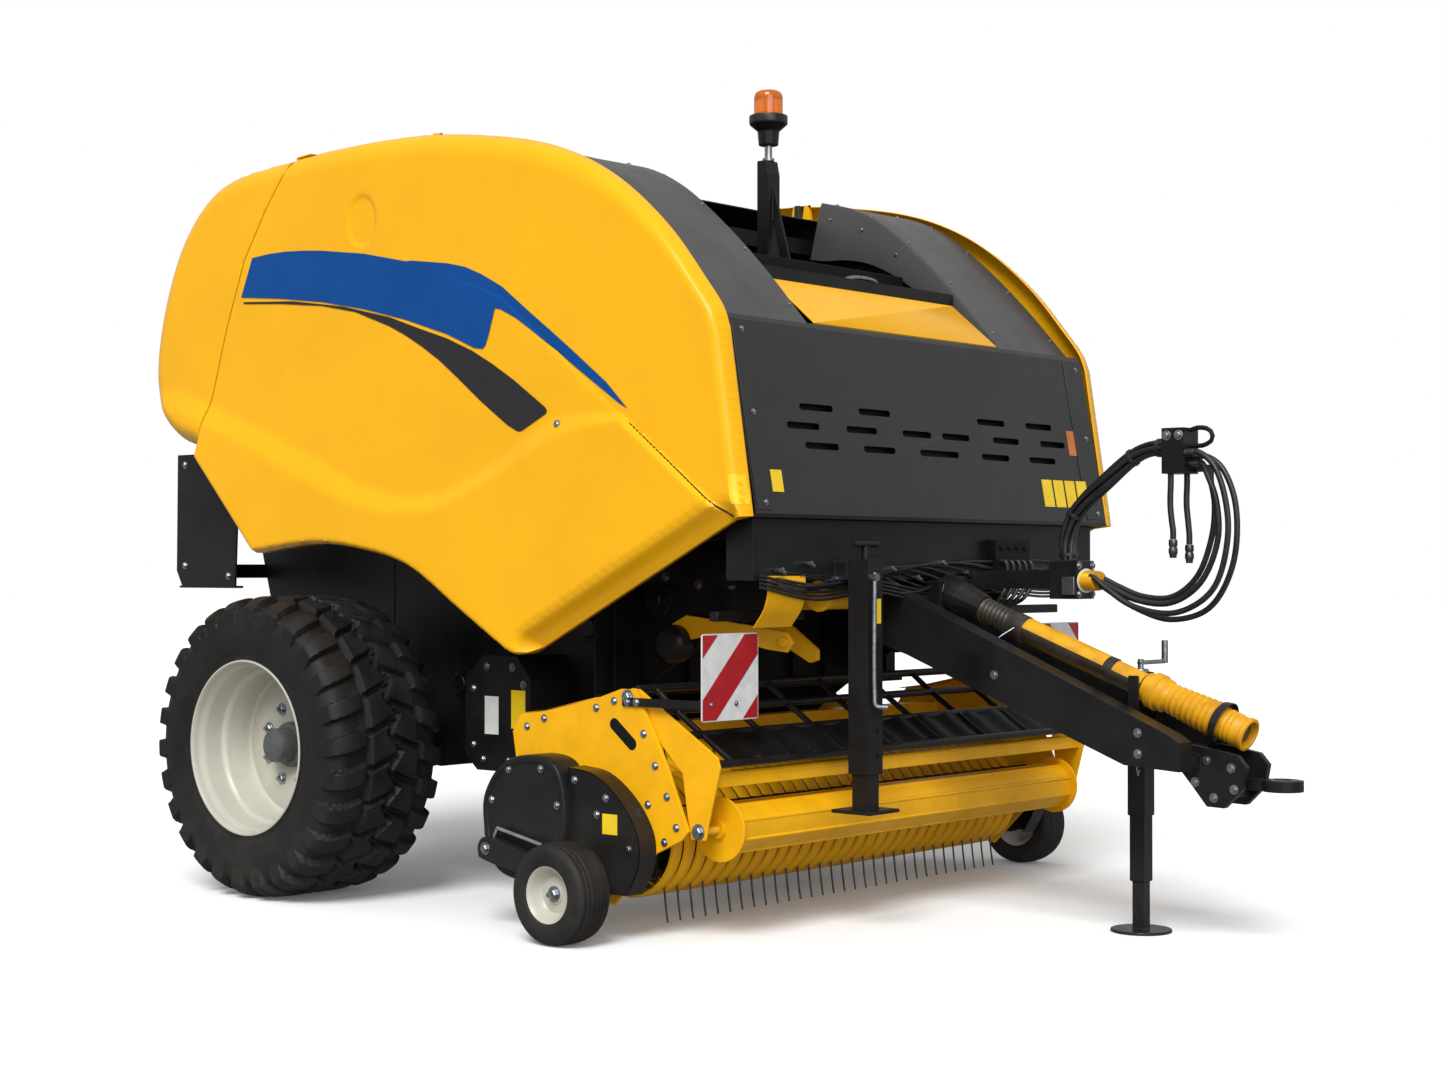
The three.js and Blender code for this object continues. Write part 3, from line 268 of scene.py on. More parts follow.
class Shape:
    """Collects the vertices and faces of one piece."""

    def __init__(self):
        self.verts = []
        self.faces = []

    def add(self, verts, faces):
        n = len(self.verts)
        self.verts += [tuple(map(float, v)) for v in verts]
        self.faces += [[i + n for i in f] for f in faces]
        return self

    def mirrored(self):
        """Adds the mirror image of everything so far across the middle of the machine."""
        verts = [(x, -y, z) for x, y, z in self.verts]
        faces = [f[::-1] for f in self.faces]
        return self.add(verts, faces)

    def flipped(self, side):
        """The same shape on that side: shapes are drawn on the right."""
        if side < 0:
            return self
        other = Shape()
        other.verts = [(x, -y, z) for x, y, z in self.verts]
        other.faces = [f[::-1] for f in self.faces]
        return other

    def box(self, x0, x1, y0, y1, z0, z1):
        corners = [(x, y, z) for x in (x0, x1) for y in (y0, y1) for z in (z0, z1)]
        return self.add(corners, [(0, 1, 3, 2), (4, 6, 7, 5), (0, 4, 5, 1), (2, 3, 7, 6), (0, 2, 6, 4),
                                  (1, 5, 7, 3)])

    def loft(self, rings, closed=True, caps=True):
        """Joins rings of equally many points."""
        n = len(rings[0])
        verts = [v for ring in rings for v in ring]
        last = n if closed else n - 1
        faces = [(k * n + i, k * n + (i + 1) % n, (k + 1) * n + (i + 1) % n, (k + 1) * n + i)
                 for k in range(len(rings) - 1) for i in range(last)]
        if caps:
            faces += [tuple(range(n))[::-1], tuple(range((len(rings) - 1) * n, len(rings) * n))]
        return self.add(verts, faces)

    def plate(self, outline, y0, y1):
        """An outline of (x, z) points between two planes across the machine."""
        area = sum(a[0] * b[1] - b[0] * a[1] for a, b in zip(outline, list(outline[1:]) + [outline[0]]))
        points = list(outline) if area < 0 else list(outline)[::-1]
        return self.loft([[(x, y, z) for x, z in points] for y in (y0, y1)])

    def wall(self, outline, x0, x1):
        """An outline of (y, z) points between two planes along the machine."""
        area = sum(a[0] * b[1] - b[0] * a[1] for a, b in zip(outline, list(outline[1:]) + [outline[0]]))
        points = list(outline) if area > 0 else list(outline)[::-1]
        return self.loft([[(x, y, z) for y, z in points] for x in (x0, x1)])

    def tube(self, points, radius, sides=12, caps=True):
        """A round bar along a line; radius is one number or one for each point."""
        p = np.array(points, float)
        radii = np.broadcast_to(radius, len(p))
        ahead = np.gradient(p, axis=0)
        ahead /= np.linalg.norm(ahead, axis=1)[:, None]
        side = np.cross(ahead[0], (0, 0, 1) if abs(ahead[0][2]) < 0.9 else (0, 1, 0))
        rings = []
        for c, d, r in zip(p, ahead, radii):
            side = side - d * (side @ d)
            side /= np.linalg.norm(side)
            up = np.cross(side, d)
            rings.append([c + r * (math.cos(a) * side - math.sin(a) * up)
                          for a in np.linspace(0, 2 * math.pi, sides, endpoint=False)])
        return self.loft(rings, caps=caps)

    def lathe(self, profile, origin, axis, sides=32, close=False):
        """Turns (radius, distance) points about a line; a profile that keeps off the line can close."""
        d = np.array(axis, float)
        d /= np.linalg.norm(d)
        e = np.cross(d, (0, 0, 1) if abs(d[2]) < 0.9 else (1, 0, 0))
        e /= np.linalg.norm(e)
        f = np.cross(d, e)
        o = np.array(origin, float)
        rings = []
        for a in np.linspace(0, 2 * math.pi, sides, endpoint=False):
            out = math.cos(a) * e + math.sin(a) * f
            rings.append([o + out * r + d * t for r, t in profile])
        n = len(profile)
        verts = [v for ring in rings for v in ring]
        faces = [(k * n + i, k * n + (i + 1) % n, ((k + 1) % sides) * n + (i + 1) % n,
                  ((k + 1) % sides) * n + i)
                 for k in range(sides) for i in range(n if close else n - 1)]
        return self.add(verts, faces)

    def bolt(self, at, normal, r=0.011):
        """A hexagon head on a washer."""
        self.lathe([(0, 0), (r * 1.55, 0), (r * 1.5, r * 0.22), (0, r * 0.22)], at, normal, 16)
        return self.lathe([(0, r * 0.2), (r, r * 0.2), (r, r * 0.75), (r * 0.85, r * 0.9), (0, r * 0.9)], at,
                          normal, 6)

    def make(self, name, body, finish, slot, bevel=0, angle=35):
        mesh = bpy.data.meshes.new(name)
        mesh.from_pydata([(x + AXLE_X, y, z) for x, y, z in self.verts], [], self.faces)
        obj = bpy.data.objects.new(name, mesh)
        bpy.context.scene.collection.objects.link(obj)
        tidy_mesh(mesh)
        mesh.materials.append(MATERIALS[finish])
        mesh.shade_smooth()
        mesh.set_sharp_from_angle(angle=math.radians(angle))
        if bevel:
            add_bevel(obj, bevel)
        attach(obj, body)
        return obj


def tidy_mesh(mesh):
    """Merges coinciding vertices and points all faces out."""
    b = bmesh.new()
    b.from_mesh(mesh)
    bmesh.ops.remove_doubles(b, verts=b.verts, dist=1e-6)
    bmesh.ops.recalc_face_normals(b, faces=b.faces)
    b.to_mesh(mesh)
    b.free()


def add_bevel(obj, width, segments=2):
    """Rounds an object's edges a little, so that they catch the light."""
    m = obj.modifiers.new("Rounded edges", "BEVEL")
    m.width = width
    m.segments = segments
    m.limit_method = "ANGLE"
    m.angle_limit = math.radians(32)
    m.harden_normals = False
    return m


def dress(names, finish, bevel=0.0):
    """Gives nodes of the frame a finish and rounded edges."""
    for name in names:
        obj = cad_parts[name]
        obj.data.materials.clear()
        obj.data.materials.append(MATERIALS[finish])
        if bevel:
            weld = obj.modifiers.new("Weld", "WELD")
            weld.merge_threshold = 1e-5
            add_bevel(obj, bevel)


def pair(base):
    return [f"{base}_right", f"{base}_left"]


# ---------------------------------------------------------------- side covers

COVER_Y = 1.120  # outer side of the covers
COVER_IN = 1.046  # inner end of their rims
COVER_WALL = 0.004
TOP = [(-0.650, 1.652), (-0.800, 1.700), (-0.905, 1.800), (-0.948, 1.940), (-0.905, 2.200), (-0.760, 2.490),
       (-0.540, 2.660), (-0.090, 2.716), (0.100, 2.727), (0.305, 2.731), (0.600, 2.721), (0.787, 2.701),
       (1.158, 2.632), (1.381, 2.552),
       (1.567, 2.445), (1.762, 2.280), (1.905, 2.113), (1.985, 2.008), (2.010, 1.945)]
SEAM = [(-0.088, 2.712), (-0.088, 2.694), (-0.230, 2.530), (-0.356, 2.353), (-0.460, 2.110), (-0.546, 1.859),
        (-0.600, 1.735), (-0.647, 1.612)]
SEAM_GAP = 0.006
ARCH = [(0.876, 1.030), (0.578, 1.198), (0.309, 1.259), (0.079, 1.278), (-0.285, 1.247)]
TIP = [(1.200, 0.925), (1.150, 0.904), (1.105, 0.902), (1.040, 0.935)]
GROOVE = [(0.565, 2.271), (0.781, 2.208), (1.051, 2.108), (1.290, 1.923), (1.612, 1.675), (1.846, 1.500),
          (2.062, 1.340), (2.3, 1.16)]
BAND_TOP = [(-0.75, 1.895), (-0.564, 1.833), (-0.255, 1.728), (0.063, 1.612), (0.297, 1.507), (0.523, 1.452),
            (0.740, 1.452), (0.950, 1.519), (1.133, 1.612), (1.251, 1.677), (1.387, 1.705), (1.500, 1.700),
            (1.612, 1.678), (1.846, 1.503), (2.062, 1.343), (2.3, 1.163)]
BAND_FOOT = [(-0.75, 1.79), (-0.643, 1.757), (-0.255, 1.607), (0.111, 1.466), (0.343, 1.398), (0.478, 1.377),
             (0.740, 1.387), (0.991, 1.475), (1.153, 1.548), (1.310, 1.616), (1.463, 1.651), (1.612, 1.668),
             (1.846, 1.494), (2.062, 1.334), (2.3, 1.154)]
OVAL = (0.324, 2.438, 0.078, 0.094)  # centre and half sizes of the round recess


def distance_to(points, line):
    """Distance of each point to a line of points."""
    a, b = line[:-1], line[1:]
    ab = b - a
    t = ((points[:, None] - a) * ab).sum(2) / np.maximum((ab ** 2).sum(1), 1e-12)
    nearest = a + np.clip(t, 0, 1)[..., None] * ab
    return np.linalg.norm(points[:, None] - nearest, axis=2).min(1)


def within(points, polygon):
    """Which points lie inside a polygon."""
    x, z = points.T
    hit = np.zeros(len(points), bool)
    for (x0, z0), (x1, z1) in zip(polygon, np.roll(polygon, -1, 0)):
        cross = (z0 > z) != (z1 > z)
        hit ^= cross & (x < (x1 - x0) * (z - z0) / (z1 - z0 + 1e-15) + x0)
    return hit


def relief(points):
    """How far the side of a cover stands out from COVER_Y: lower flare, crease and round recess."""
    x, z = points.T
    top = np.interp(x, *np.array(BAND_TOP).T)
    foot = np.interp(x, *np.array(BAND_FOOT).T)
    lower = step_up(-z, -(top + 0.004), -(foot - 0.004))
    out = 0.018 * lower - 0.004 * (1 - lower)
    crease = np.interp(x, *np.array(GROOVE).T)
    strength = step_up(x, 0.6, 1.3) * (1 - lower)
    out -= strength * 0.004 * step_up(z, crease - 0.004, crease + 0.004)
    out -= strength * 0.003 * np.exp(-((z - crease) / 0.006) ** 2)
    cx, cz, rx, rz = OVAL
    ring = np.hypot((x - cx) / rx, (z - cz) / rz)
    out -= 0.007 * (1 - step_up(ring, 0.86, 1.06))
    return out


def rounded(d, radius, depth=None):
    """Drop of a rounded edge at a distance from its border."""
    t = np.clip(1 - d / radius, 0, 1)
    return (depth or radius) * (1 - np.sqrt(np.maximum(0, 1 - t * t)))


class Cover:
    """One side of the covers: its outline by kinds of edge, and the height of its surface."""

    def __init__(self, edges):
        self.edges = [(kind, np.array(line, float)) for kind, line in edges]
        loop = []
        for _, line in self.edges:
            loop += list(dense(line, 0.012)[:-1])
        self.loop = np.array(loop)

    def y(self, points):
        """Distance of the surface from the middle of the machine."""
        drop = np.zeros(len(points))
        for kind, line in self.edges:
            d = distance_to(points, line)
            if kind == "round":
                # The soft round of the top draws in to a narrow flange beside the front panel.
                drop = np.maximum(drop, rounded(d, 0.085 - 0.045 * step_up(points[:, 0], 1.25, 1.90), 0.070))
            elif kind == "chamfer":
                drop = np.maximum(drop, 0.052 * np.clip(1 - d / 0.062, 0, 1) + 0.004 * (d < 0.075))
            elif kind == "hem":
                drop = np.maximum(drop, rounded(d, 0.020))
            else:
                drop = np.maximum(drop, rounded(d, 0.0035))
        return COVER_Y + relief(points) * np.clip(1 - drop / 0.03, 0, 1) - drop

    def sheet(self, loop=None, step=0.022, lift=0.0):
        """Points and triangles of the surface inside a loop, finer where it bends."""
        whole = loop is None
        loop = self.loop if whole else loop
        low, high = loop.min(0), loop.max(0)
        rows = []
        for pitch, near in ((step, False), (step * 0.42, True)):
            gx, gz = np.meshgrid(np.arange(low[0], high[0], pitch), np.arange(low[1], high[1], pitch))
            gx[1::2] += pitch / 2
            p = np.column_stack([gx.ravel(), gz.ravel()])
            p = p[within(p, loop)]
            top = np.interp(p[:, 0], *np.array(BAND_TOP).T)
            foot = np.interp(p[:, 0], *np.array(BAND_FOOT).T)
            crease = np.interp(p[:, 0], *np.array(GROOVE).T)
            cx, cz, rx, rz = OVAL
            ring = np.hypot((p[:, 0] - cx) / rx, (p[:, 1] - cz) / rz)
            bends = ((p[:, 1] < top + 0.02) & (p[:, 1] > foot - 0.02)) | (abs(p[:, 1] - crease) < 0.014)
            bends |= abs(ring - 0.96) < 0.2
            if whole:
                edge = np.full(len(p), 9.0)
                for _, line in self.edges:
                    edge = np.minimum(edge, distance_to(p, line))
                bends |= edge < 0.09
                p, bends = p[edge > 0.004], bends[edge > 0.004]
            else:
                edge = distance_to(p, np.vstack([loop, loop[:1]]))
                p, bends = p[edge > 0.005], bends[edge > 0.005]
            rows.append(p[bends == near])
        points = np.vstack([loop, *rows])
        verts, _, faces, *_ = delaunay_2d_cdt([Vector(p) for p in points], [], [list(range(len(loop)))], 1,
                                              1e-7)
        flat = np.array([tuple(v) for v in verts])
        y = self.y(flat) + lift
        return np.column_stack([flat[:, 0], -y, flat[:, 1]]), [list(f) for f in faces]


def top_line():
    return smooth(TOP, 10)


def cut_top(seam_x):
    """The outline's curved top, split at the seam: behind it and ahead of it."""
    line = top_line()
    k = next(i for i, (x, z) in enumerate(line) if x > seam_x and z > 2.3)
    a, b = line[k - 1], line[k]
    cut = a + (b - a) * (seam_x - a[0]) / (b[0] - a[0])
    return np.vstack([line[:k], cut]), np.vstack([cut, line[k:]])


def side_cover():
    _, ahead = cut_top(SEAM[0][0])
    seam = [tuple(ahead[0])] + SEAM[1:]
    return Cover([
        ("round", np.vstack([ahead, [(2.104, 1.351)]])),
        ("hem", [(2.104, 1.351), (2.038, 1.339)]),
        ("chamfer", [(2.038, 1.339), TIP[0]]),
        ("hem", np.vstack([smooth(TIP, 5), smooth(ARCH, 10), [SEAM[-1]]])),
        ("seam", seam[::-1]),
    ])


def tail_cover():
    behind, _ = cut_top(-0.104 - SEAM_GAP)
    # The top front corner stands back, so that it clears the side covers as the tailgate swings up.
    seam = [(x - SEAM_GAP, z) for x, z in [(-0.104, 2.694), (-0.110, 2.668)] + SEAM[2:]]
    return Cover([
        ("round", behind),
        ("seam", [tuple(behind[-1])] + seam),
        ("hem", [seam[-1], tuple(behind[0])]),
    ])


def border(faces):
    """Directed edges that belong to one face only."""
    seen = {}
    for f in faces:
        for a, b in zip(f, f[1:] + f[:1]):
            seen[(a, b)] = True
    return [(a, b) for a, b in seen if (b, a) not in seen]


def solid_sheet(name, shape, body, outwards):
    """A yellow sheet that is thick behind the surface that shows."""
    obj = shape.make(name, body, "shell", "yellow_shell", angle=50)
    facing = sum((p.normal * p.area for p in obj.data.polygons), Vector())
    if facing.dot(Vector(outwards)) < 0:
        obj.data.flip_normals()
    m = obj.modifiers.new("Wall", "SOLIDIFY")
    m.thickness = COVER_WALL
    m.offset = -1
    m.use_even_offset = False
    return obj


class BALER_OT_covers(Operator):
    """Builds the side covers and the tailgate cover with their graphics"""

    bl_idname = "baler.covers"
    bl_label = "Covers"

    def execute(self, context):
        cover = side_cover()
        verts, faces = cover.sheet()
        rim = border(faces)
        graphics = {
            "blue_swoosh": ("vinyl_blue", BLUE_SWOOSH),
            "grey_swoosh": ("vinyl_grey", GREY_SWOOSH),
        }
        for side, sign in SIDES:
            shape = Shape().add(verts, faces)
            # The rim turns inwards round the whole border, and less beside the hinge at the seam.
            inner = [(verts[a][0], -1.078 if verts[a][0] < 0.0 and verts[a][2] > 2.45 else -COVER_IN,
                      verts[a][2])
                     for a, _ in rim]
            back = {a: i for i, (a, _) in enumerate(rim)}
            n = len(verts)
            shape.verts += [tuple(map(float, v)) for v in inner]
            shape.faces += [[b, a, n + back[a], n + back[b]] for a, b in rim]
            body = f"side_panel_{side}"
            made = solid_sheet(f"side_cover_{side}", shape.flipped(sign), body, (0, sign, 0))
            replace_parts(made, body)
            ears = Shape()
            for x in (0.070, 0.130, 0.590, 0.650):
                ears.plate([(x - 0.020, 2.660), (x + 0.020, 2.660), (x + 0.010, 2.7215), (x - 0.010, 2.7215)],
                           -1.058, -1.036)
            ears.flipped(sign).make(f"cover_ears_{side}", body, "yellow", "yellow_steel", bevel=0.001)
            for name, (finish, outline) in graphics.items():
                loop = dense(np.vstack([outline, outline[:1]]), 0.012)[:-1]
                v, f = cover.sheet(loop, 0.012, 0.0028)
                Shape().add(v, f).flipped(sign).make(f"{name}_{side}", body, finish, "yellow_shell", angle=60)
            label = np.array([(2.052, 1.480), (2.084, 1.480), (2.098, 1.388), (2.064, 1.388)])
            v, f = cover.sheet(dense(np.vstack([label, label[:1]]), 0.008)[:-1], 0.008, 0.0015)
            Shape().add(v, f).flipped(sign).make(f"cover_label_{side}", body, "vinyl_yellow", "yellow_shell",
                                                 angle=60)
            # The dark joint between the front flange and the flared lower part.
            line = dense(np.array([(1.640, 1.656), (1.846, 1.501), (2.050, 1.348)]), 0.02)
            seal = np.column_stack([line[:, 0], -cover.y(line), line[:, 1]])
            Shape().tube(seal, 0.0028, 8).flipped(sign).make(f"cover_joint_{side}", body, "inner",
                                                             "yellow_shell")
            bolts = Shape()
            bolts.bolt((1.323, -float(cover.y(np.array([[1.323, 1.664]]))[0]), 1.664), (0, -1, 0), 0.010)
            bolts.flipped(sign).make(f"cover_latch_{side}", body, "zinc", "yellow_shell")
        tailgate_sheet()
        return {"FINISHED"}


def tailgate_sheet():
    """The tailgate's cover: both sides and the back and top between them."""
    cover = tail_cover()
    verts, faces = cover.sheet()
    rim = border(faces)
    curved = top_line()
    n = len(verts)
    shape = Shape().add(verts, faces)
    shape.add([(x, -y, z) for x, y, z in verts], [f[::-1] for f in faces])
    rows = 12
    # The back and top run across from side to side; the lower corners only turn in a little.
    outer = distance_to(verts[:, [0, 2]], curved) < 0.004
    for a, b in rim:
        wide = outer[a] and outer[b] and min(verts[a][2], verts[b][2]) > 1.945
        pa, pb = verts[a], verts[b]
        if wide:
            ys = np.linspace(pa[1], -pa[1], rows + 1), np.linspace(pb[1], -pb[1], rows + 1)
            strip = [(pa[0], ys[0][k], pa[2]) for k in range(rows + 1)]
            strip += [(pb[0], ys[1][k], pb[2]) for k in range(rows + 1)]
            shape.add(strip, [(rows + 1 + k, k, k + 1, rows + 2 + k) for k in range(rows)])
        else:
            for s in (1, -1):
                q = [(pa[0], s * pa[1], pa[2]), (pb[0], s * pb[1], pb[2]),
                     (pb[0], -s * 1.010, pb[2]), (pa[0], -s * 1.010, pa[2])]
                shape.add(q, [(1, 0, 3, 2) if s > 0 else (0, 1, 2, 3)])
    made = solid_sheet("tail_cover", shape, "tailgate", (-1, 0, 0))
    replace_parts(made, "tailgate_cover")


BLUE_SWOOSH = np.array([
    (-0.302, 2.360), (-0.200, 2.366), (-0.109, 2.366), (0.000, 2.360), (0.108, 2.350), (0.341, 2.318),
    (0.565, 2.271),
    (0.600, 2.270), (0.781, 2.245), (0.870, 2.225), (0.949, 2.194), (1.051, 2.143), (1.192, 2.041),
    (1.290, 1.973),
    (1.387, 1.904), (1.538, 1.793), (1.632, 1.703), (1.593, 1.723), (1.387, 1.858), (1.192, 1.988),
    (1.120, 2.032),
    (1.051, 2.064), (1.020, 2.072), (0.990, 1.985), (0.975, 1.950), (0.960, 1.937), (0.918, 1.943),
    (0.782, 1.999),
    (0.565, 2.065), (0.341, 2.119), (0.109, 2.162), (-0.133, 2.193), (-0.369, 2.216)])
GREY_SWOOSH = np.array([
    (-0.353, 2.197), (-0.060, 2.178), (0.226, 2.137), (0.477, 2.081), (0.653, 2.024), (0.780, 1.985),
    (0.908, 1.934),
    (1.010, 1.882), (1.112, 1.823), (1.262, 1.724), (1.270, 1.714), (1.266, 1.703), (1.253, 1.697),
    (1.153, 1.651),
    (1.140, 1.648), (1.129, 1.650), (1.082, 1.672), (0.950, 1.760), (0.824, 1.853), (0.740, 1.912),
    (0.653, 1.964),
    (0.565, 2.010), (0.477, 2.049), (0.295, 2.112), (0.109, 2.148), (-0.133, 2.174), (-0.353, 2.190)])


# ---------------------------------------------------------------- stage


class BALER_OT_finishes(Operator):
    """Makes every finish from the colours"""

    bl_idname = "baler.finishes"
    bl_label = "Finishes"

    def execute(self, context):
        MATERIALS.update(material_set())
        return {"FINISHED"}


class BALER_OT_stage(Operator):
    """Sets up the camera, the floor and a soft studio light"""

    bl_idname = "baler.stage"
    bl_label = "Stage"

    def execute(self, context):
        scene = context.scene
        data = bpy.data.cameras.new("camera")
        data.lens = 56.15
        data.sensor_width = 36.0
        camera = bpy.data.objects.new("camera", data)
        camera.location = (5.357, -6.415, 1.190)
        turn, tilt = math.radians(40.65), math.radians(0.636)
        ahead = Vector((-math.sin(turn) * math.cos(tilt), math.cos(turn) * math.cos(tilt), math.sin(tilt)))
        camera.rotation_euler = ahead.to_track_quat("-Z", "Y").to_euler()
        scene.collection.objects.link(camera)
        scene.camera = camera
        scene.view_settings.view_transform = "Standard"

        floor = bpy.data.meshes.new("floor")
        floor.from_pydata([(-60, -60, 0), (60, -60, 0), (60, 60, 0), (-60, 60, 0)], [], [(0, 1, 2, 3)])
        ground = bpy.data.objects.new("floor", floor)
        scene.collection.objects.link(ground)
        paper = bpy.data.materials.new("matt_white_floor")
        paper.use_nodes = True
        tree = paper.node_tree
        tree.nodes.clear()
        rays = add_node(tree, "LightPath")
        # The floor looks white, and throws a little less light than that back at the machine.
        tone = add_node(tree, "Mix", {
            "Factor": rays.outputs["Is Camera Ray"], "A": linear("#8c8c8c"), "B": linear("#ffffff")},
            data_type="RGBA")
        shader = add_node(tree, "BsdfDiffuse", {"Color": tone.outputs["Result"]})
        glow = add_node(tree, "Emission", {"Color": linear("#ffffff"), "Strength": 0.06})
        both = add_node(tree, "AddShader", {0: shader.outputs[0], 1: glow.outputs[0]})
        add_node(tree, "OutputMaterial", {"Surface": both.outputs[0]})
        floor.materials.append(paper)

        world = bpy.data.worlds.new("studio")
        world.use_nodes = True
        tree = world.node_tree
        tree.nodes.clear()
        rays = add_node(tree, "LightPath")
        seen = add_node(tree, "Math", {0: rays.outputs["Is Camera Ray"],
                                       1: rays.outputs["Is Transmission Ray"]},
                        operation="MAXIMUM")
        lit = add_node(tree, "Background", {"Color": linear("#ffffff"), "Strength": 0.50})
        shown = add_node(tree, "Background", {"Color": linear("#ffffff"), "Strength": 1.0})
        mixed = add_node(tree, "MixShader", {0: seen.outputs[0], 1: lit.outputs[0], 2: shown.outputs[0]})
        add_node(tree, "OutputWorld", {"Surface": mixed.outputs[0]})
        scene.world = world

        for name, strength, spread, aim in (
            ("key", 2.65, 28, (-0.34, 0.63, -0.70)),
            ("front", 1.05, 40, (-0.78, 0.60, -0.16)),
        ):
            lamp = bpy.data.lights.new(name, "SUN")
            lamp.energy = strength
            lamp.angle = math.radians(spread)
            obj = bpy.data.objects.new(name, lamp)
            obj.rotation_euler = Vector(aim).to_track_quat("-Z", "Y").to_euler()
            scene.collection.objects.link(obj)
        return {"FINISHED"}


# ---------------------------------------------------------------- hoses

HOSE_R = 0.010
HOSE_X = (2.5303, 2.9303)  # where the hoses leave the holder and enter the hook
# Each loop: its y, its heights at the holder and the hook, and the points between.
HOSE_LOOPS = (
    (0.160, 1.160, 1.568, ((2.640, 1.118), (2.740, 1.062), (2.900, 1.045), (3.030, 1.120), (3.085, 1.290),
                           (3.070, 1.440), (3.030, 1.530))),
    (0.186, 1.146, 1.533, ((2.630, 1.128), (2.730, 1.085), (2.860, 1.075), (2.970, 1.140), (3.035, 1.280),
                           (3.030, 1.410), (2.998, 1.495))),
    (0.212, 1.132, 1.556, ((2.630, 1.104), (2.720, 1.055), (2.850, 1.020), (2.990, 1.060), (3.075, 1.200),
                           (3.085, 1.400), (3.034, 1.520))),
    (0.238, 1.152, 1.518, ((2.630, 1.130), (2.730, 1.095), (2.840, 1.095), (2.930, 1.160), (2.985, 1.290),
                           (2.996, 1.400), (2.984, 1.470))),
)
# Each hanging end: its x and y, and the height of its foot.
HOSE_ENDS = ((2.872, 0.172, 1.285), (2.902, 0.226, 1.268))
HOSE_ARM = ((2.462, 0.200, 1.2153), (2.462, 0.200, 1.240), (2.462, 0.200, 1.290), (2.500, 0.200, 1.385),
            (2.620, 0.200, 1.490), (2.730, 0.200, 1.568), (2.790, 0.200, 1.588), (2.820, 0.200, 1.588),
            (2.8497, 0.200, 1.588))


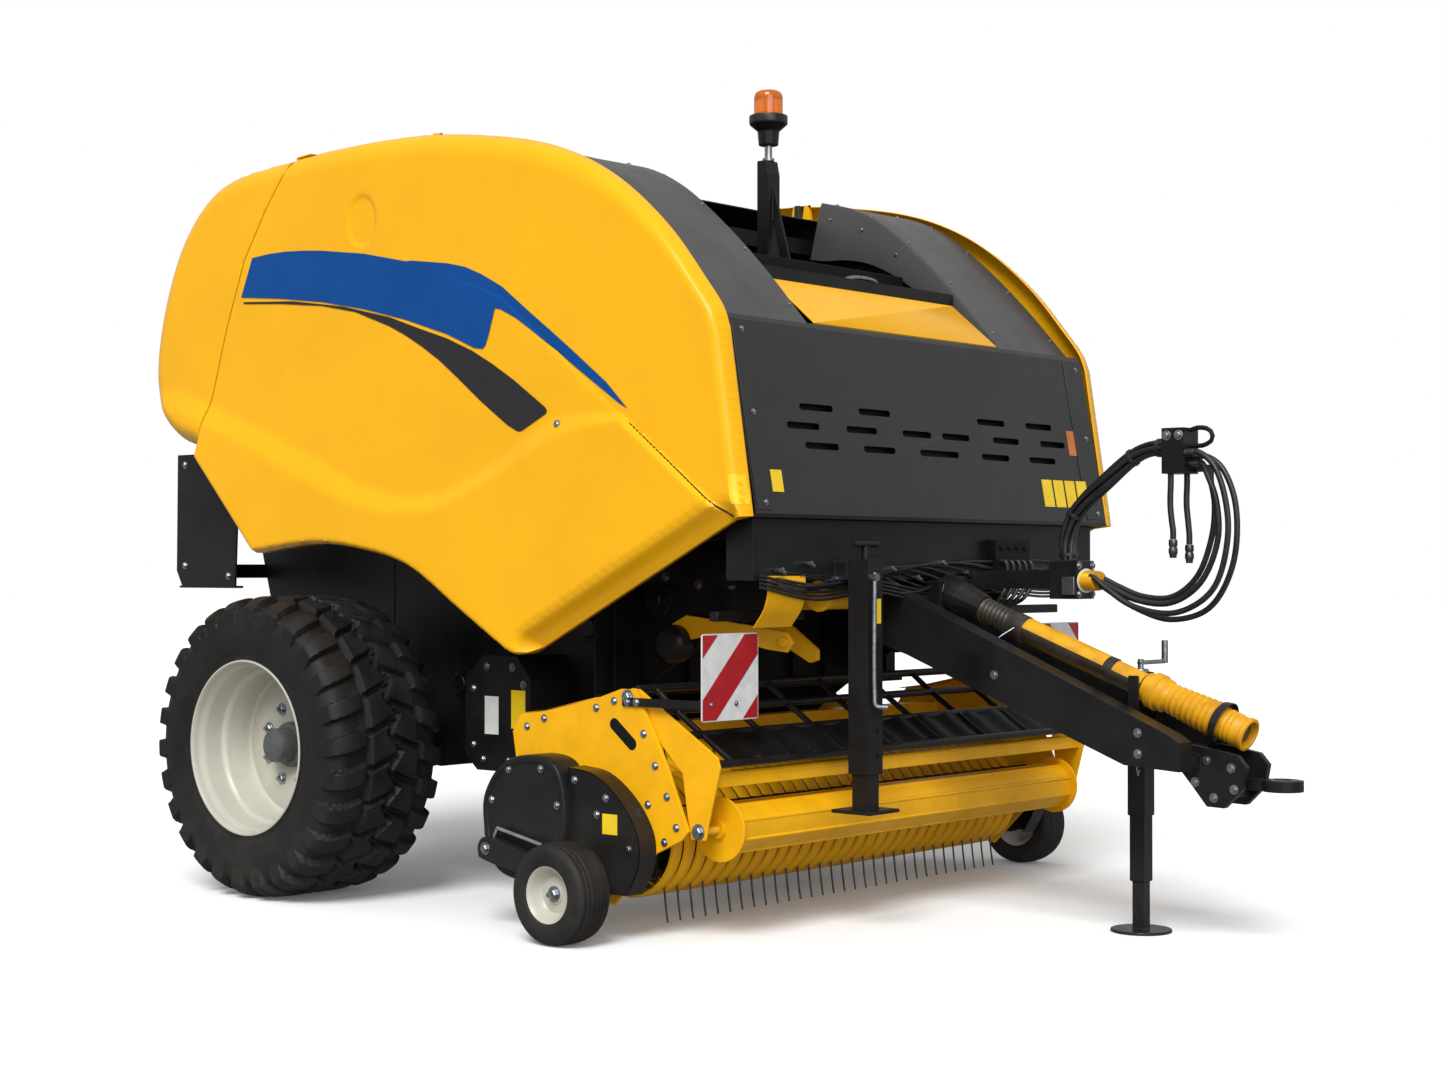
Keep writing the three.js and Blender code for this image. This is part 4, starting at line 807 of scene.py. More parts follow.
class BALER_OT_hoses(Operator):
    """Lays the hydraulic hoses in their loops and hangs their free ends from the hook"""

    bl_idname = "baler.hoses"
    bl_label = "Hoses"

    def execute(self, context):
        x0, x1 = HOSE_X
        for i, (y, start, end, by) in enumerate(HOSE_LOOPS):
            route = [(x0, start), (x0 + 0.024, start), (x0 + 0.048, start), *by,
                     (x1 + 0.048, end), (x1 + 0.024, end), (x1, end)]
            line = smooth([(x, y, z) for x, z in route], 10)
            hose = Shape().tube(line, HOSE_R, 14).make(f"hose_{i + 1}", "chassis", "hose", "hose_rubber",
                                                       angle=60)
            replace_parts(hose, f"hose_loop_{i + 1}")
            # White or yellow tape marks each hose next to the holder; a crimped end sits beside the hook.
            mark = Shape().tube([(x0 + 0.002, y, start), (x0 + 0.040, y, start)], HOSE_R + 0.0025, 14)
            mark.make(f"hose_mark_{i + 1}", "chassis", ("vinyl_yellow", "vinyl_white")[i % 2], "hose_rubber",
                      0.001)
            crimp = Shape().tube([(x1 + 0.002, y, end), (x1 + 0.034, y, end)], HOSE_R + 0.0025, 14)
            crimp.make(f"hose_crimp_{i + 1}", "chassis", "steel", "bare_steel", 0.001)
        for i, (x, y, foot) in enumerate(HOSE_ENDS):
            heights = (1.4997, 1.470, 1.400, 1.340, foot + 0.030, foot)
            lean = (0, 0, -0.002, 0.004, 0.008, 0.008)
            line = smooth([(x + k, y, z) for k, z in zip(lean, heights)], 10)
            hose = Shape().tube(line, HOSE_R, 14).make(f"hose_tail_{i + 1}", "chassis", "hose", "hose_rubber",
                                                       angle=60)
            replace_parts(hose, f"hose_end_{i + 1}")
            tip = (x + 0.008, y, foot - 0.0003)
            plug = Shape().lathe(
                [(0.004, 0), (0.013, 0.001), (0.0145, 0.006), (0.0145, 0.020), (0.0125, 0.023),
                 (0.0125, 0.028),
                 (0.0148, 0.031), (0.0148, 0.046), (0.0125, 0.049), (0.0115, 0.058), (0.0105, 0.0615),
                 (0.006, 0.0617)],
                tip, (0, 0, -1), 24).make(f"hose_plug_{i + 1}", "chassis", "steel", "bare_steel", angle=50)
            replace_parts(plug, f"coupler_{i + 1}")
        # The bundle inside the woven sleeve: twisted, so that it bulges a little along its way.
        line = smooth(HOSE_ARM, 12)
        steps = np.linspace(0, 1, len(line))
        way = np.gradient(line, axis=0)
        way /= np.linalg.norm(way, axis=1)[:, None]
        across = np.cross(way, (0, 1, 0))
        bundle = Shape().tube(line, 0.009, 10)
        for k in range(6):
            a = k * math.pi / 3 + 1.4 * steps + 0.25 * np.sin(steps * 9 + k)
            r = 0.0195 + 0.0018 * np.sin(steps * 14 + 2 * k)
            strand = line + (r * np.cos(a))[:, None] * (0, 1, 0) + (r * np.sin(a))[:, None] * across
            bundle.tube(strand, 0.0092, 12)
        bundle = bundle.make("hose_bundle", "chassis", "hose", "black_sleeve", angle=60)
        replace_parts(bundle, "hose_arm")
        bands = Shape()
        for k in (10, 34, 58, 82):
            a, b = line[k], line[k + 1]
            way = (b - a) / np.linalg.norm(b - a)
            bands.tube([a - way * 0.006, a + way * 0.006], 0.0310, 24)
        bands.make("sleeve_ties", "chassis", "hose", "black_sleeve", bevel=0.001)
        # A white collar and a knitted yellow sleeve hold the loops together beside the holder.
        for name, finish, a, b, wide, high in (("hose_collar", "vinyl_white", x0 + 0.0005, x0 + 0.006, 0.057,
                                                0.040),
                                               ("hose_wrap", "guard", x0 + 0.0065, x0 + 0.052, 0.054, 0.034)):
            turns = np.linspace(0, 2 * math.pi, 28, endpoint=False)
            wrap = Shape().loft([[(x, 0.199 + wide * f * math.cos(t),
                                   1.147 + high * f * math.sin(t)) for t in turns]
                                 for x, f in ((a, 1), (a, 1), ((a + b) / 2, 1.04), (b, 0.97), (b, 0.97))])
            wrap.make(name, "chassis", finish, "hose_rubber", angle=50)
        dress(["hose_beam", "hose_hook"], "black", 0.003)
        fittings = Shape()
        fittings.box(2.478, 2.526, 0.130, 0.144, 1.100, 1.160)
        for z in (1.102, 1.198):
            for y in (0.157, 0.243):
                fittings.bolt((2.5303, y, z), (1, 0, 0), 0.009)
        for x in (2.868, 2.912):
            fittings.bolt((x, 0.150, 1.625), (0, -1, 0), 0.011)
        fittings.make("hose_fittings", "chassis", "zinc", "bare_steel", bevel=0.001)
        return {"FINISHED"}


# ---------------------------------------------------------------- wheels

WHEEL = dict(x=0.0, z=0.545, radius=0.545, half=0.250, middle=1.140)
# Half of a main tyre's section: radius and distance from its middle, bead to crown, without the lugs.
TYRE_SECTION = (
    (0.306, 0.238), (0.313, 0.2415), (0.322, 0.2385), (0.345, 0.2425), (0.385, 0.2485), (0.420, 0.2495),
    (0.455, 0.2450), (0.486, 0.2310), (0.506, 0.2080), (0.5165, 0.1700), (0.5200, 0.1200), (0.5210, 0.0600))
GAUGE = dict(x=1.545, z=0.163, radius=0.163, half=0.073, middle=1.327)


def tread(turn, u, lugs):
    """Height of the tread, 0 to 1, at an angle round the tyre and a place across it (-1 to 1)."""
    side = np.sign(u) + (u == 0)
    a = abs(u)
    phase = turn * lugs / (2 * math.pi) + np.where(side > 0, 0.5, 0.0)
    # Shoulder lugs curve forward as they run out and down the side.
    bend = 0.42 * np.sin((a - 0.35) * 2.4) - 0.10 * a
    across = abs((phase + bend) % 1 - 0.5)
    lug = 1 - step_up(across, 0.235, 0.285)
    lug *= step_up(a, 0.395, 0.425)
    # Two rows of blocks interlock along the middle, parted by a zigzag groove.
    zig = 0.085 * (2 * abs((turn * lugs / (2 * math.pi)) % 1 - 0.5) * 2 - 1)
    from_zig = abs(u - zig)
    slanted = abs((phase + 0.30 + 0.9 * (a - 0.2)) % 1 - 0.5)
    block = step_up(from_zig, 0.022, 0.045) * (1 - step_up(slanted, 0.395, 0.435)) * (1 - step_up(a, 0.335,
        0.365))
    return np.maximum(lug, block)


class BALER_OT_wheels(Operator):
    """Builds the main wheels with their lugged tyres and stepped rims"""

    bl_idname = "baler.wheels"
    bl_label = "Main wheels"

    def execute(self, context):
        sizes = context.scene.baler_sizes
        half = smooth(TYRE_SECTION + ((0.5212, 0.0),), 8)
        section = np.vstack([half, (half * (1, -1))[-2::-1]])
        along = np.r_[0, np.cumsum(np.linalg.norm(np.diff(section, axis=0), axis=1))]
        # Rows lie closer together over the tread than down the sides.
        rows = np.interp(np.linspace(0, 1, 112), [0, 0.16, 0.84, 1],
                         [0, along[-1] * 0.20, along[-1] * 0.80, along[-1]])
        section = np.column_stack([np.interp(rows, along, section[:, 0]),
                                   np.interp(rows, along, section[:, 1])])
        slope = np.gradient(section, axis=0)
        out = np.column_stack([-slope[:, 1], slope[:, 0]])
        out /= np.linalg.norm(out, axis=1)[:, None]
        # The place across the tread goes on past 1 down the side walls.
        reach = (rows - along[-1] / 2) / 0.300
        fade = step_up(section[:, 0], 0.440, 0.470)
        count = 648
        turns = np.linspace(0, 2 * math.pi, count, endpoint=False)
        height = tread(turns[:, None], -reach[None, :], sizes.tyre_lugs) * fade * sizes.tread_depth
        # Fine rings run round the side walls.
        ring = sum(np.exp(-((section[:, 0] - r) / 0.0022) ** 2) for r in (0.328, 0.352, 0.398, 0.432))
        height += 0.0016 * ring * (section[:, 0] < 0.44)
        radius = np.minimum(section[None, :, 0] + out[None, :, 0] * height, WHEEL["radius"] - 0.0002)
        offset = section[None, :, 1] + out[None, :, 1] * height
        offset = np.clip(offset, -WHEEL["half"], WHEEL["half"])
        # Both wheels take the same tread, mirrored across the machine.
        for side, sign in SIDES:
            y = sign * WHEEL["middle"] - offset * -sign
            grid = np.stack([radius * np.sin(turns)[:, None], y,
                             WHEEL["z"] - radius * np.cos(turns)[:, None]], 2)
            n = section.shape[0]
            index = np.arange(count * n).reshape(count, n)
            nxt = np.roll(index, -1, 0)
            quads = np.stack([index[:, :-1], nxt[:, :-1], nxt[:, 1:], index[:, 1:]], 2).reshape(-1, 4)
            tyre = Shape()
            tyre.verts, tyre.faces = grid.reshape(-1, 3).tolist(), quads.tolist()
            made = tyre.make(f"tyre_{side}", f"wheel_{side}", "tyre", "tyre_rubber", angle=40)
            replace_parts(made, f"wheel_tyre_{side}")
            centre = (WHEEL["x"], sign * WHEEL["middle"], WHEEL["z"])
            outwards = (0, sign, 0)
            rim = Shape().lathe([
                (0.0425, 0.010), (0.075, 0.010), (0.100, 0.014), (0.118, 0.028), (0.180, 0.030),
                (0.228, 0.022),
                (0.250, 0.014), (0.262, 0.020), (0.267, 0.040), (0.268, 0.110), (0.272, 0.120),
                (0.284, 0.128),
                (0.287, 0.140), (0.288, 0.190), (0.292, 0.204), (0.300, 0.214), (0.303, 0.226),
                (0.304, 0.238),
                (0.309, 0.2445), (0.3145, 0.2440), (0.3165, 0.2385), (0.3140, 0.2345), (0.3085, 0.2340),
                (0.3050, 0.2300),
                (0.3045, 0.180), (0.300, 0.100), (0.300, -0.180), (0.3045, -0.2320), (0.3125, -0.2380),
                (0.309, -0.2440),
                (0.300, -0.2400), (0.292, -0.225), (0.280, -0.190), (0.262, -0.060), (0.258, 0.000),
                (0.240, 0.004),
                (0.180, 0.016), (0.110, 0.010), (0.060, -0.010), (0.0425, -0.010),
            ], centre, outwards, 96, close=True)
            made = rim.make(f"rim_{side}", f"wheel_{side}", "cream", "cream_paint", angle=38)
            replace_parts(made, f"wheel_rim_{side}")
            hub = Shape().lathe([
                (0, 0.118), (0.045, 0.117), (0.058, 0.112), (0.062, 0.102), (0.063, 0.050), (0.078, 0.047),
                (0.082, 0.040), (0.083, 0.012), (0.0, 0.012),
            ], centre, outwards, 48)
            hub.make(f"hub_{side}", f"wheel_{side}", "grey_hub", "cream_paint", angle=40)
            nuts = Shape()
            for k in range(8):
                a = (k + 0.5) * math.pi / 4
                at = (centre[0] + 0.1375 * math.sin(a), centre[1] + sign * 0.0285,
                      centre[2] + 0.1375 * math.cos(a))
                nuts.bolt(at, outwards, 0.015)
                nuts.lathe([(0.008, 0), (0.008, 0.022), (0.006, 0.025), (0, 0.025)], at, outwards, 12)
            nuts.make(f"wheel_nuts_{side}", f"wheel_{side}", "zinc", "bare_steel")
            valve = Shape().tube([(0.214, sign * 1.170, 0.545), (0.216, sign * 1.205, 0.545)], 0.007, 12)
            valve.make(f"valve_{side}", f"wheel_{side}", "reflect_red", "tyre_rubber", bevel=0.001)
        return {"FINISHED"}


class BALER_OT_gauge_wheels(Operator):
    """Builds the small ribbed wheels that carry the pick-up, and the covers beside them"""

    bl_idname = "baler.gauge_wheels"
    bl_label = "Gauge wheels"

    def execute(self, context):
        for side, sign in SIDES:
            centre = (GAUGE["x"], sign * GAUGE["middle"], GAUGE["z"])
            outwards = (0, sign, 0)
            crown = []
            # Ribs run round the tread, with narrow grooves between.
            for k in range(7):
                t = -0.052 + k * 0.0173
                drop = 0.0085 * abs(t / 0.06) ** 3
                crown += [(0.1585 - drop, t - 0.0075), (0.1625 - drop, t - 0.0055),
                          (0.1625 - drop, t + 0.0055),
                          (0.1585 - drop, t + 0.0075)]
            outer = [(0.0895, 0.064), (0.094, 0.068), (0.104, 0.0695), (0.124, 0.0720), (0.137, 0.0705),
                     (0.147, 0.0655)]
            section = [(r, -t) for r, t in outer] + crown + outer[::-1] + [(0.0885, 0.060), (0.0885, -0.060)]
            made = Shape().lathe(section, centre, outwards, 96, close=True).make(
                f"gauge_wheel_tyre_{side}", f"gauge_wheel_{side}", "tyre", "tyre_rubber", angle=40)
            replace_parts(made, f"gauge_tyre_{side}")
            rim = Shape().lathe([
                (0.0155, 0.030), (0.030, 0.030), (0.034, 0.024), (0.062, 0.020), (0.072, 0.030),
                (0.077, 0.052),
                (0.084, 0.060), (0.090, 0.0655), (0.0925, 0.0640), (0.090, 0.0610), (0.0880, 0.0580),
                (0.0880, -0.058),
                (0.090, -0.0610), (0.0925, -0.0640), (0.090, -0.0655), (0.084, -0.060), (0.077, -0.052),
                (0.072, -0.020), (0.062, 0.010), (0.030, 0.010), (0.0155, -0.040),
            ], centre, outwards, 64, close=True)
            made = rim.make(f"gauge_wheel_rim_{side}", f"gauge_wheel_{side}", "cream", "cream_paint",
                            angle=38)
            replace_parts(made, f"gauge_rim_{side}")
            nut = Shape()
            nut.bolt((centre[0], centre[1] + sign * 0.030, centre[2]), outwards, 0.017)
            nut.lathe([(0.010, 0), (0.010, 0.026), (0.008, 0.029), (0, 0.029)],
                      (centre[0], centre[1] + sign * 0.030, centre[2]), outwards, 16)
            nut.make(f"gauge_nut_{side}", f"gauge_wheel_{side}", "zinc", "bare_steel")
            self.covers(side, sign)
        return {"FINISHED"}

    def covers(self, side, sign):
        cover = smooth([(1.062, 0.300), (1.060, 0.430), (1.148, 0.545), (1.300, 0.578), (1.400, 0.550),
                        (1.444, 0.420),
                        (1.410, 0.232), (1.300, 0.166), (1.130, 0.186), (1.062, 0.300)], 7)[:-1]
        inner = [np.array([1.255, 0.372]) + (p - (1.255, 0.372)) * 0.86 for p in cover]
        rings = [[(x, -1.1005, z) for x, z in cover], [(x, -1.196, z) for x, z in cover],
                 [(x, -1.2085, z) for x, z in np.array([1.255, 0.372]) + (cover - (1.255, 0.372)) * 0.975],
                 [(x, -1.2105, z) for x, z in np.array([1.255, 0.372]) + (cover - (1.255, 0.372)) * 0.90],
                 [(x, -1.2040, z) for x, z in inner]]
        drive = Shape().loft(rings).flipped(sign)
        made = drive.make(f"drive_cover_{side}", "pickup", "black", "black_steel", bevel=0.003, angle=30)
        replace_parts(made, f"gauge_carrier_{side}")
        rest = Shape()
        shield = smooth([(1.430, 0.545), (1.540, 0.530), (1.640, 0.470), (1.712, 0.392), (1.744, 0.320),
                         (1.738, 0.236),
                         (1.705, 0.175), (1.690, 0.150)], 4)
        edge = [tuple(p) for p in shield] + [(1.430, 0.150)]
        rest.plate(edge, -1.180, -1.1765)
        # A flange joins the shield to the side plate.
        rim = [[(x, y, z) for x, z in shield] for y in (-1.1003, -1.180)]
        back = [[(1.560 + (x - 1.560) * 0.975, y, 0.330 + (z - 0.330) * 0.975) for x,
                 z in shield] for y in (-1.180, -1.1003)]
        rest.loft([*rim, *back, rim[0]], closed=False, caps=False)
        arm = smooth([(1.080, 0.232), (1.076, 0.268), (1.096, 0.296), (1.130, 0.299), (1.330, 0.254),
                      (1.552, 0.200),
                      (1.578, 0.170), (1.566, 0.138), (1.535, 0.133), (1.330, 0.180), (1.110, 0.222),
                      (1.080, 0.232)],
                     4)[:-1]
        rest.plate([tuple(p) for p in arm], -1.212, -1.248)
        rest.tube([(1.545, -1.240, 0.163), (1.545, -1.352, 0.163)], 0.0145, 20)
        rest.flipped(sign).make(f"wheel_carrier_{side}", "pickup", "black", "black_steel", bevel=0.002)
        bolts = Shape()
        for x, z in ((1.100, 0.420), (1.180, 0.525), (1.330, 0.535), (1.405, 0.420), (1.370, 0.245),
                     (1.180, 0.210)):
            bolts.bolt((x, -1.2050, z), (0, -1, 0), 0.009)
        for x, z in ((1.460, 0.505), (1.600, 0.455), (1.700, 0.300), (1.560, 0.400)):
            bolts.bolt((x, -1.180, z), (0, -1, 0), 0.009)
        bolts.bolt((1.115, -1.248, 0.262), (0, -1, 0), 0.014)
        bolts.flipped(sign).make(f"carrier_bolts_{side}", "pickup", "zinc", "bare_steel")
        rod = Shape().tube([(1.150, -1.226, 0.330), (1.360, -1.226, 0.290)], 0.008, 14)
        rod.tube([(1.150, -1.226, 0.330), (1.120, -1.226, 0.270)], 0.008, 14)
        rod.flipped(sign).make(f"height_rod_{side}", "pickup", "chrome", "bare_steel")
        label = Shape().plate([(1.585, 0.405), (1.585, 0.340), (1.650, 0.340), (1.650, 0.405)], -1.1812,
                              -1.1802)
        label.flipped(sign).make(f"shield_label_{side}", "pickup", "vinyl_yellow", "black_steel")


# ---------------------------------------------------------------- front, roof and frame

FENDER_LINE = ((1.100, 2.628), (1.250, 2.588), (1.400, 2.512), (1.600, 2.352), (1.780, 2.178), (1.945, 1.996))
PANEL_FOOT = (2.1082, 1.349)
PANEL_HEAD = (1.9914, 1.990)


def on_panel(y, z, lift=0.0):
    """A point on the front panel's outer face, lifted off it by lift."""
    (x0, z0), (x1, z1) = PANEL_FOOT, PANEL_HEAD
    run = math.hypot(x1 - x0, z1 - z0)
    return (x0 + (x1 - x0) * (z - z0) / (z1 - z0) + lift * (z1 - z0) / run, y, z + lift * (x0 - x1) / run)


def on_panel_patch(shape, y0, y1, z0, z1, thick):
    """A thin rectangle that lies on the front panel."""
    corners = [(y0, z0), (y1, z0), (y1, z1), (y0, z1)]
    return shape.loft([[on_panel(y, z, lift) for y, z in corners] for lift in (0.0004, thick)])


class BALER_OT_front(Operator):
    """Finishes the front panel, the hood, the fenders and the roof"""

    bl_idname = "baler.front"
    bl_label = "Front and roof"

    def execute(self, context):
        dress(["front_panel"], "grey", 0.004)
        # The roof sheet with the brackets and pins that carry the side covers.
        sheet = Shape()
        line = np.array([(-0.030, 2.691), (0.150, 2.688), (0.420, 2.620), (0.700, 2.570), (1.060, 2.562)])
        line = smooth(line, 8)
        sheet.plate([*line, *(line[::-1] - (0, 0.005))], -1.034, 1.034)
        for x in (0.100, 0.620):
            z = float(np.interp(x, line[:, 0], line[:, 1]))
            for s in (-1, 1):
                sheet.box(x - 0.012, x + 0.012, min(s * 1.043, s * 1.010), max(s * 1.043, s * 1.010),
                          z - 0.004, 2.720)
                sheet.tube([(x - 0.050, s * 1.041, 2.718), (x + 0.050, s * 1.041, 2.718)], 0.0040, 12)
        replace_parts(sheet.make("roof_sheet", "chassis", "grey", "dark_grey_sheet", bevel=0.001), "roof_cover")
        # A black lining stands behind the slots of the front panel, as painted shade for the dark inside the
        # machine.
        lining = Shape()
        corners = [(y, z) for y, z in ((-1.020, 1.372), (1.020, 1.372), (1.020, 1.960), (-1.020, 1.960))]
        lining.loft([[on_panel(y, z, lift) for y, z in corners] for lift in (-0.030, -0.028)])
        lining.make("panel_lining", "chassis", "inner", "dark_grey_sheet")
        dress(["hood"], "shell", 0.004)
        line = smooth(FENDER_LINE, 8)
        slope = np.gradient(line, axis=0)
        down = np.column_stack([slope[:, 1], -slope[:, 0]])
        down /= np.linalg.norm(down, axis=1)[:, None]
        for side, sign in SIDES:
            top = Shape()
            # The outer edge turns down in a small round, and the inner wall is deeper towards the roof.
            turns = np.linspace(0, math.pi / 2, 6)
            reach = step_up(-line[:, 0], -1.70, -1.10)
            section = [(-0.570, 0.0)] + [(-1.018 - 0.012 * math.sin(a),
                                          0.012 * (1 - math.cos(a))) for a in turns]
            section += [(-1.030, 0.030), (-1.0265, 0.030)]
            section += [(-1.0265 + 0.0085 * (1 - math.cos(a)), 0.0135 - 0.009 * math.sin(a)) for a in turns]
            rings = []
            for i, (p, d) in enumerate(zip(line, down)):
                depth = 0.105 + 0.120 * reach[i]
                ring = [(-0.5745, 0.006), (-0.5745, depth), (-0.5705, depth), (-0.5700, 0.010),
                        (-0.5735, 0.002)]
                ring = section[1:][::-1] + [(-0.578, 0.0045)] + ring + [(-0.577, 0.0)]
                rings.append([(p[0] + d[0] * t, y, p[1] + d[1] * t) for y, t in ring])
            top.loft(rings)
            made = top.flipped(sign).make(f"fender_sheet_{side}", "chassis", "fender", "dark_grey_sheet",
                                          angle=30)
            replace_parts(made, f"fender_{side}")
            screws = Shape()
            for t in (0.08, 0.30, 0.52, 0.72, 0.93):
                i = int(t * (len(line) - 1))
                for y in (-0.600, -0.998):
                    screws.bolt((line[i][0], y, line[i][1]), (-down[i][0], 0, -down[i][1]), 0.006)
                low = 0.06
                screws.bolt((line[i][0] + down[i][0] * low, -0.570, line[i][1] + down[i][1] * low), (0, 1, 0),
                            0.006)
            screws.flipped(sign).make(f"fender_screws_{side}", "chassis", "zinc", "dark_grey_sheet")
        trims = Shape()
        # Edge strips beside the side covers, and blank labels along the panel's lower edge.
        for y0, y1 in ((-1.0300, -0.960), (0.905, 1.0300)):
            on_panel_patch(trims, y0, y1, 1.372, 1.968, 0.003)
        trims.make("panel_strips", "chassis", "grey", "dark_grey_sheet", bevel=0.001)
        labels = Shape()
        on_panel_patch(labels, -0.940, -0.885, 1.430, 1.500, 0.0012)
        for k in range(4):
            y = 0.662 + k * 0.078
            on_panel_patch(labels, y - 0.033, y + 0.033, 1.415, 1.515, 0.0042 if k == 3 else 0.0012)
        labels.make("panel_labels", "chassis", "vinyl_yellow", "dark_grey_sheet")
        plate = Shape()
        on_panel_patch(plate, 0.852, 0.902, 1.612, 1.705, 0.0012)
        plate.make("panel_label_orange", "chassis", "vinyl_orange", "dark_grey_sheet")
        latches = Shape()
        for y in (-0.985, 0.985):
            for z in (1.395, 1.680, 1.945):
                latches.bolt(on_panel(y, z, 0.003), (1, 0, 0.17), 0.007)
        latches.make("panel_screws", "chassis", "zinc", "dark_grey_sheet")
        # Behind the hood: a black rim, a cross plate, and a grey handle.
        inside = Shape()
        inside.box(1.470, 1.500, -0.565, 0.565, 2.150, 2.300)
        inside.plate([(1.500, 2.150), (1.640, 2.130), (1.640, 2.160), (1.500, 2.185)], -0.565, 0.565)
        inside.make("bay_rim", "chassis", "inner", "black_steel", bevel=0.003)
        handle = Shape().tube(smooth([(1.560, 0.120, 2.175), (1.560, 0.120, 2.235), (1.570, 0.150, 2.250),
                                      (1.570, 0.290, 2.250), (1.560, 0.320, 2.235), (1.560, 0.320, 2.175)],
                                      6),
                              0.010, 14)
        handle.make("bay_handle", "chassis", "zinc", "black_steel")
        shelf = Shape().box(1.585, 1.600, -0.420, -0.120, 2.150, 2.235)
        shelf.make("bay_plate", "chassis", "yellow", "yellow_steel", bevel=0.002)
        return {"FINISHED"}


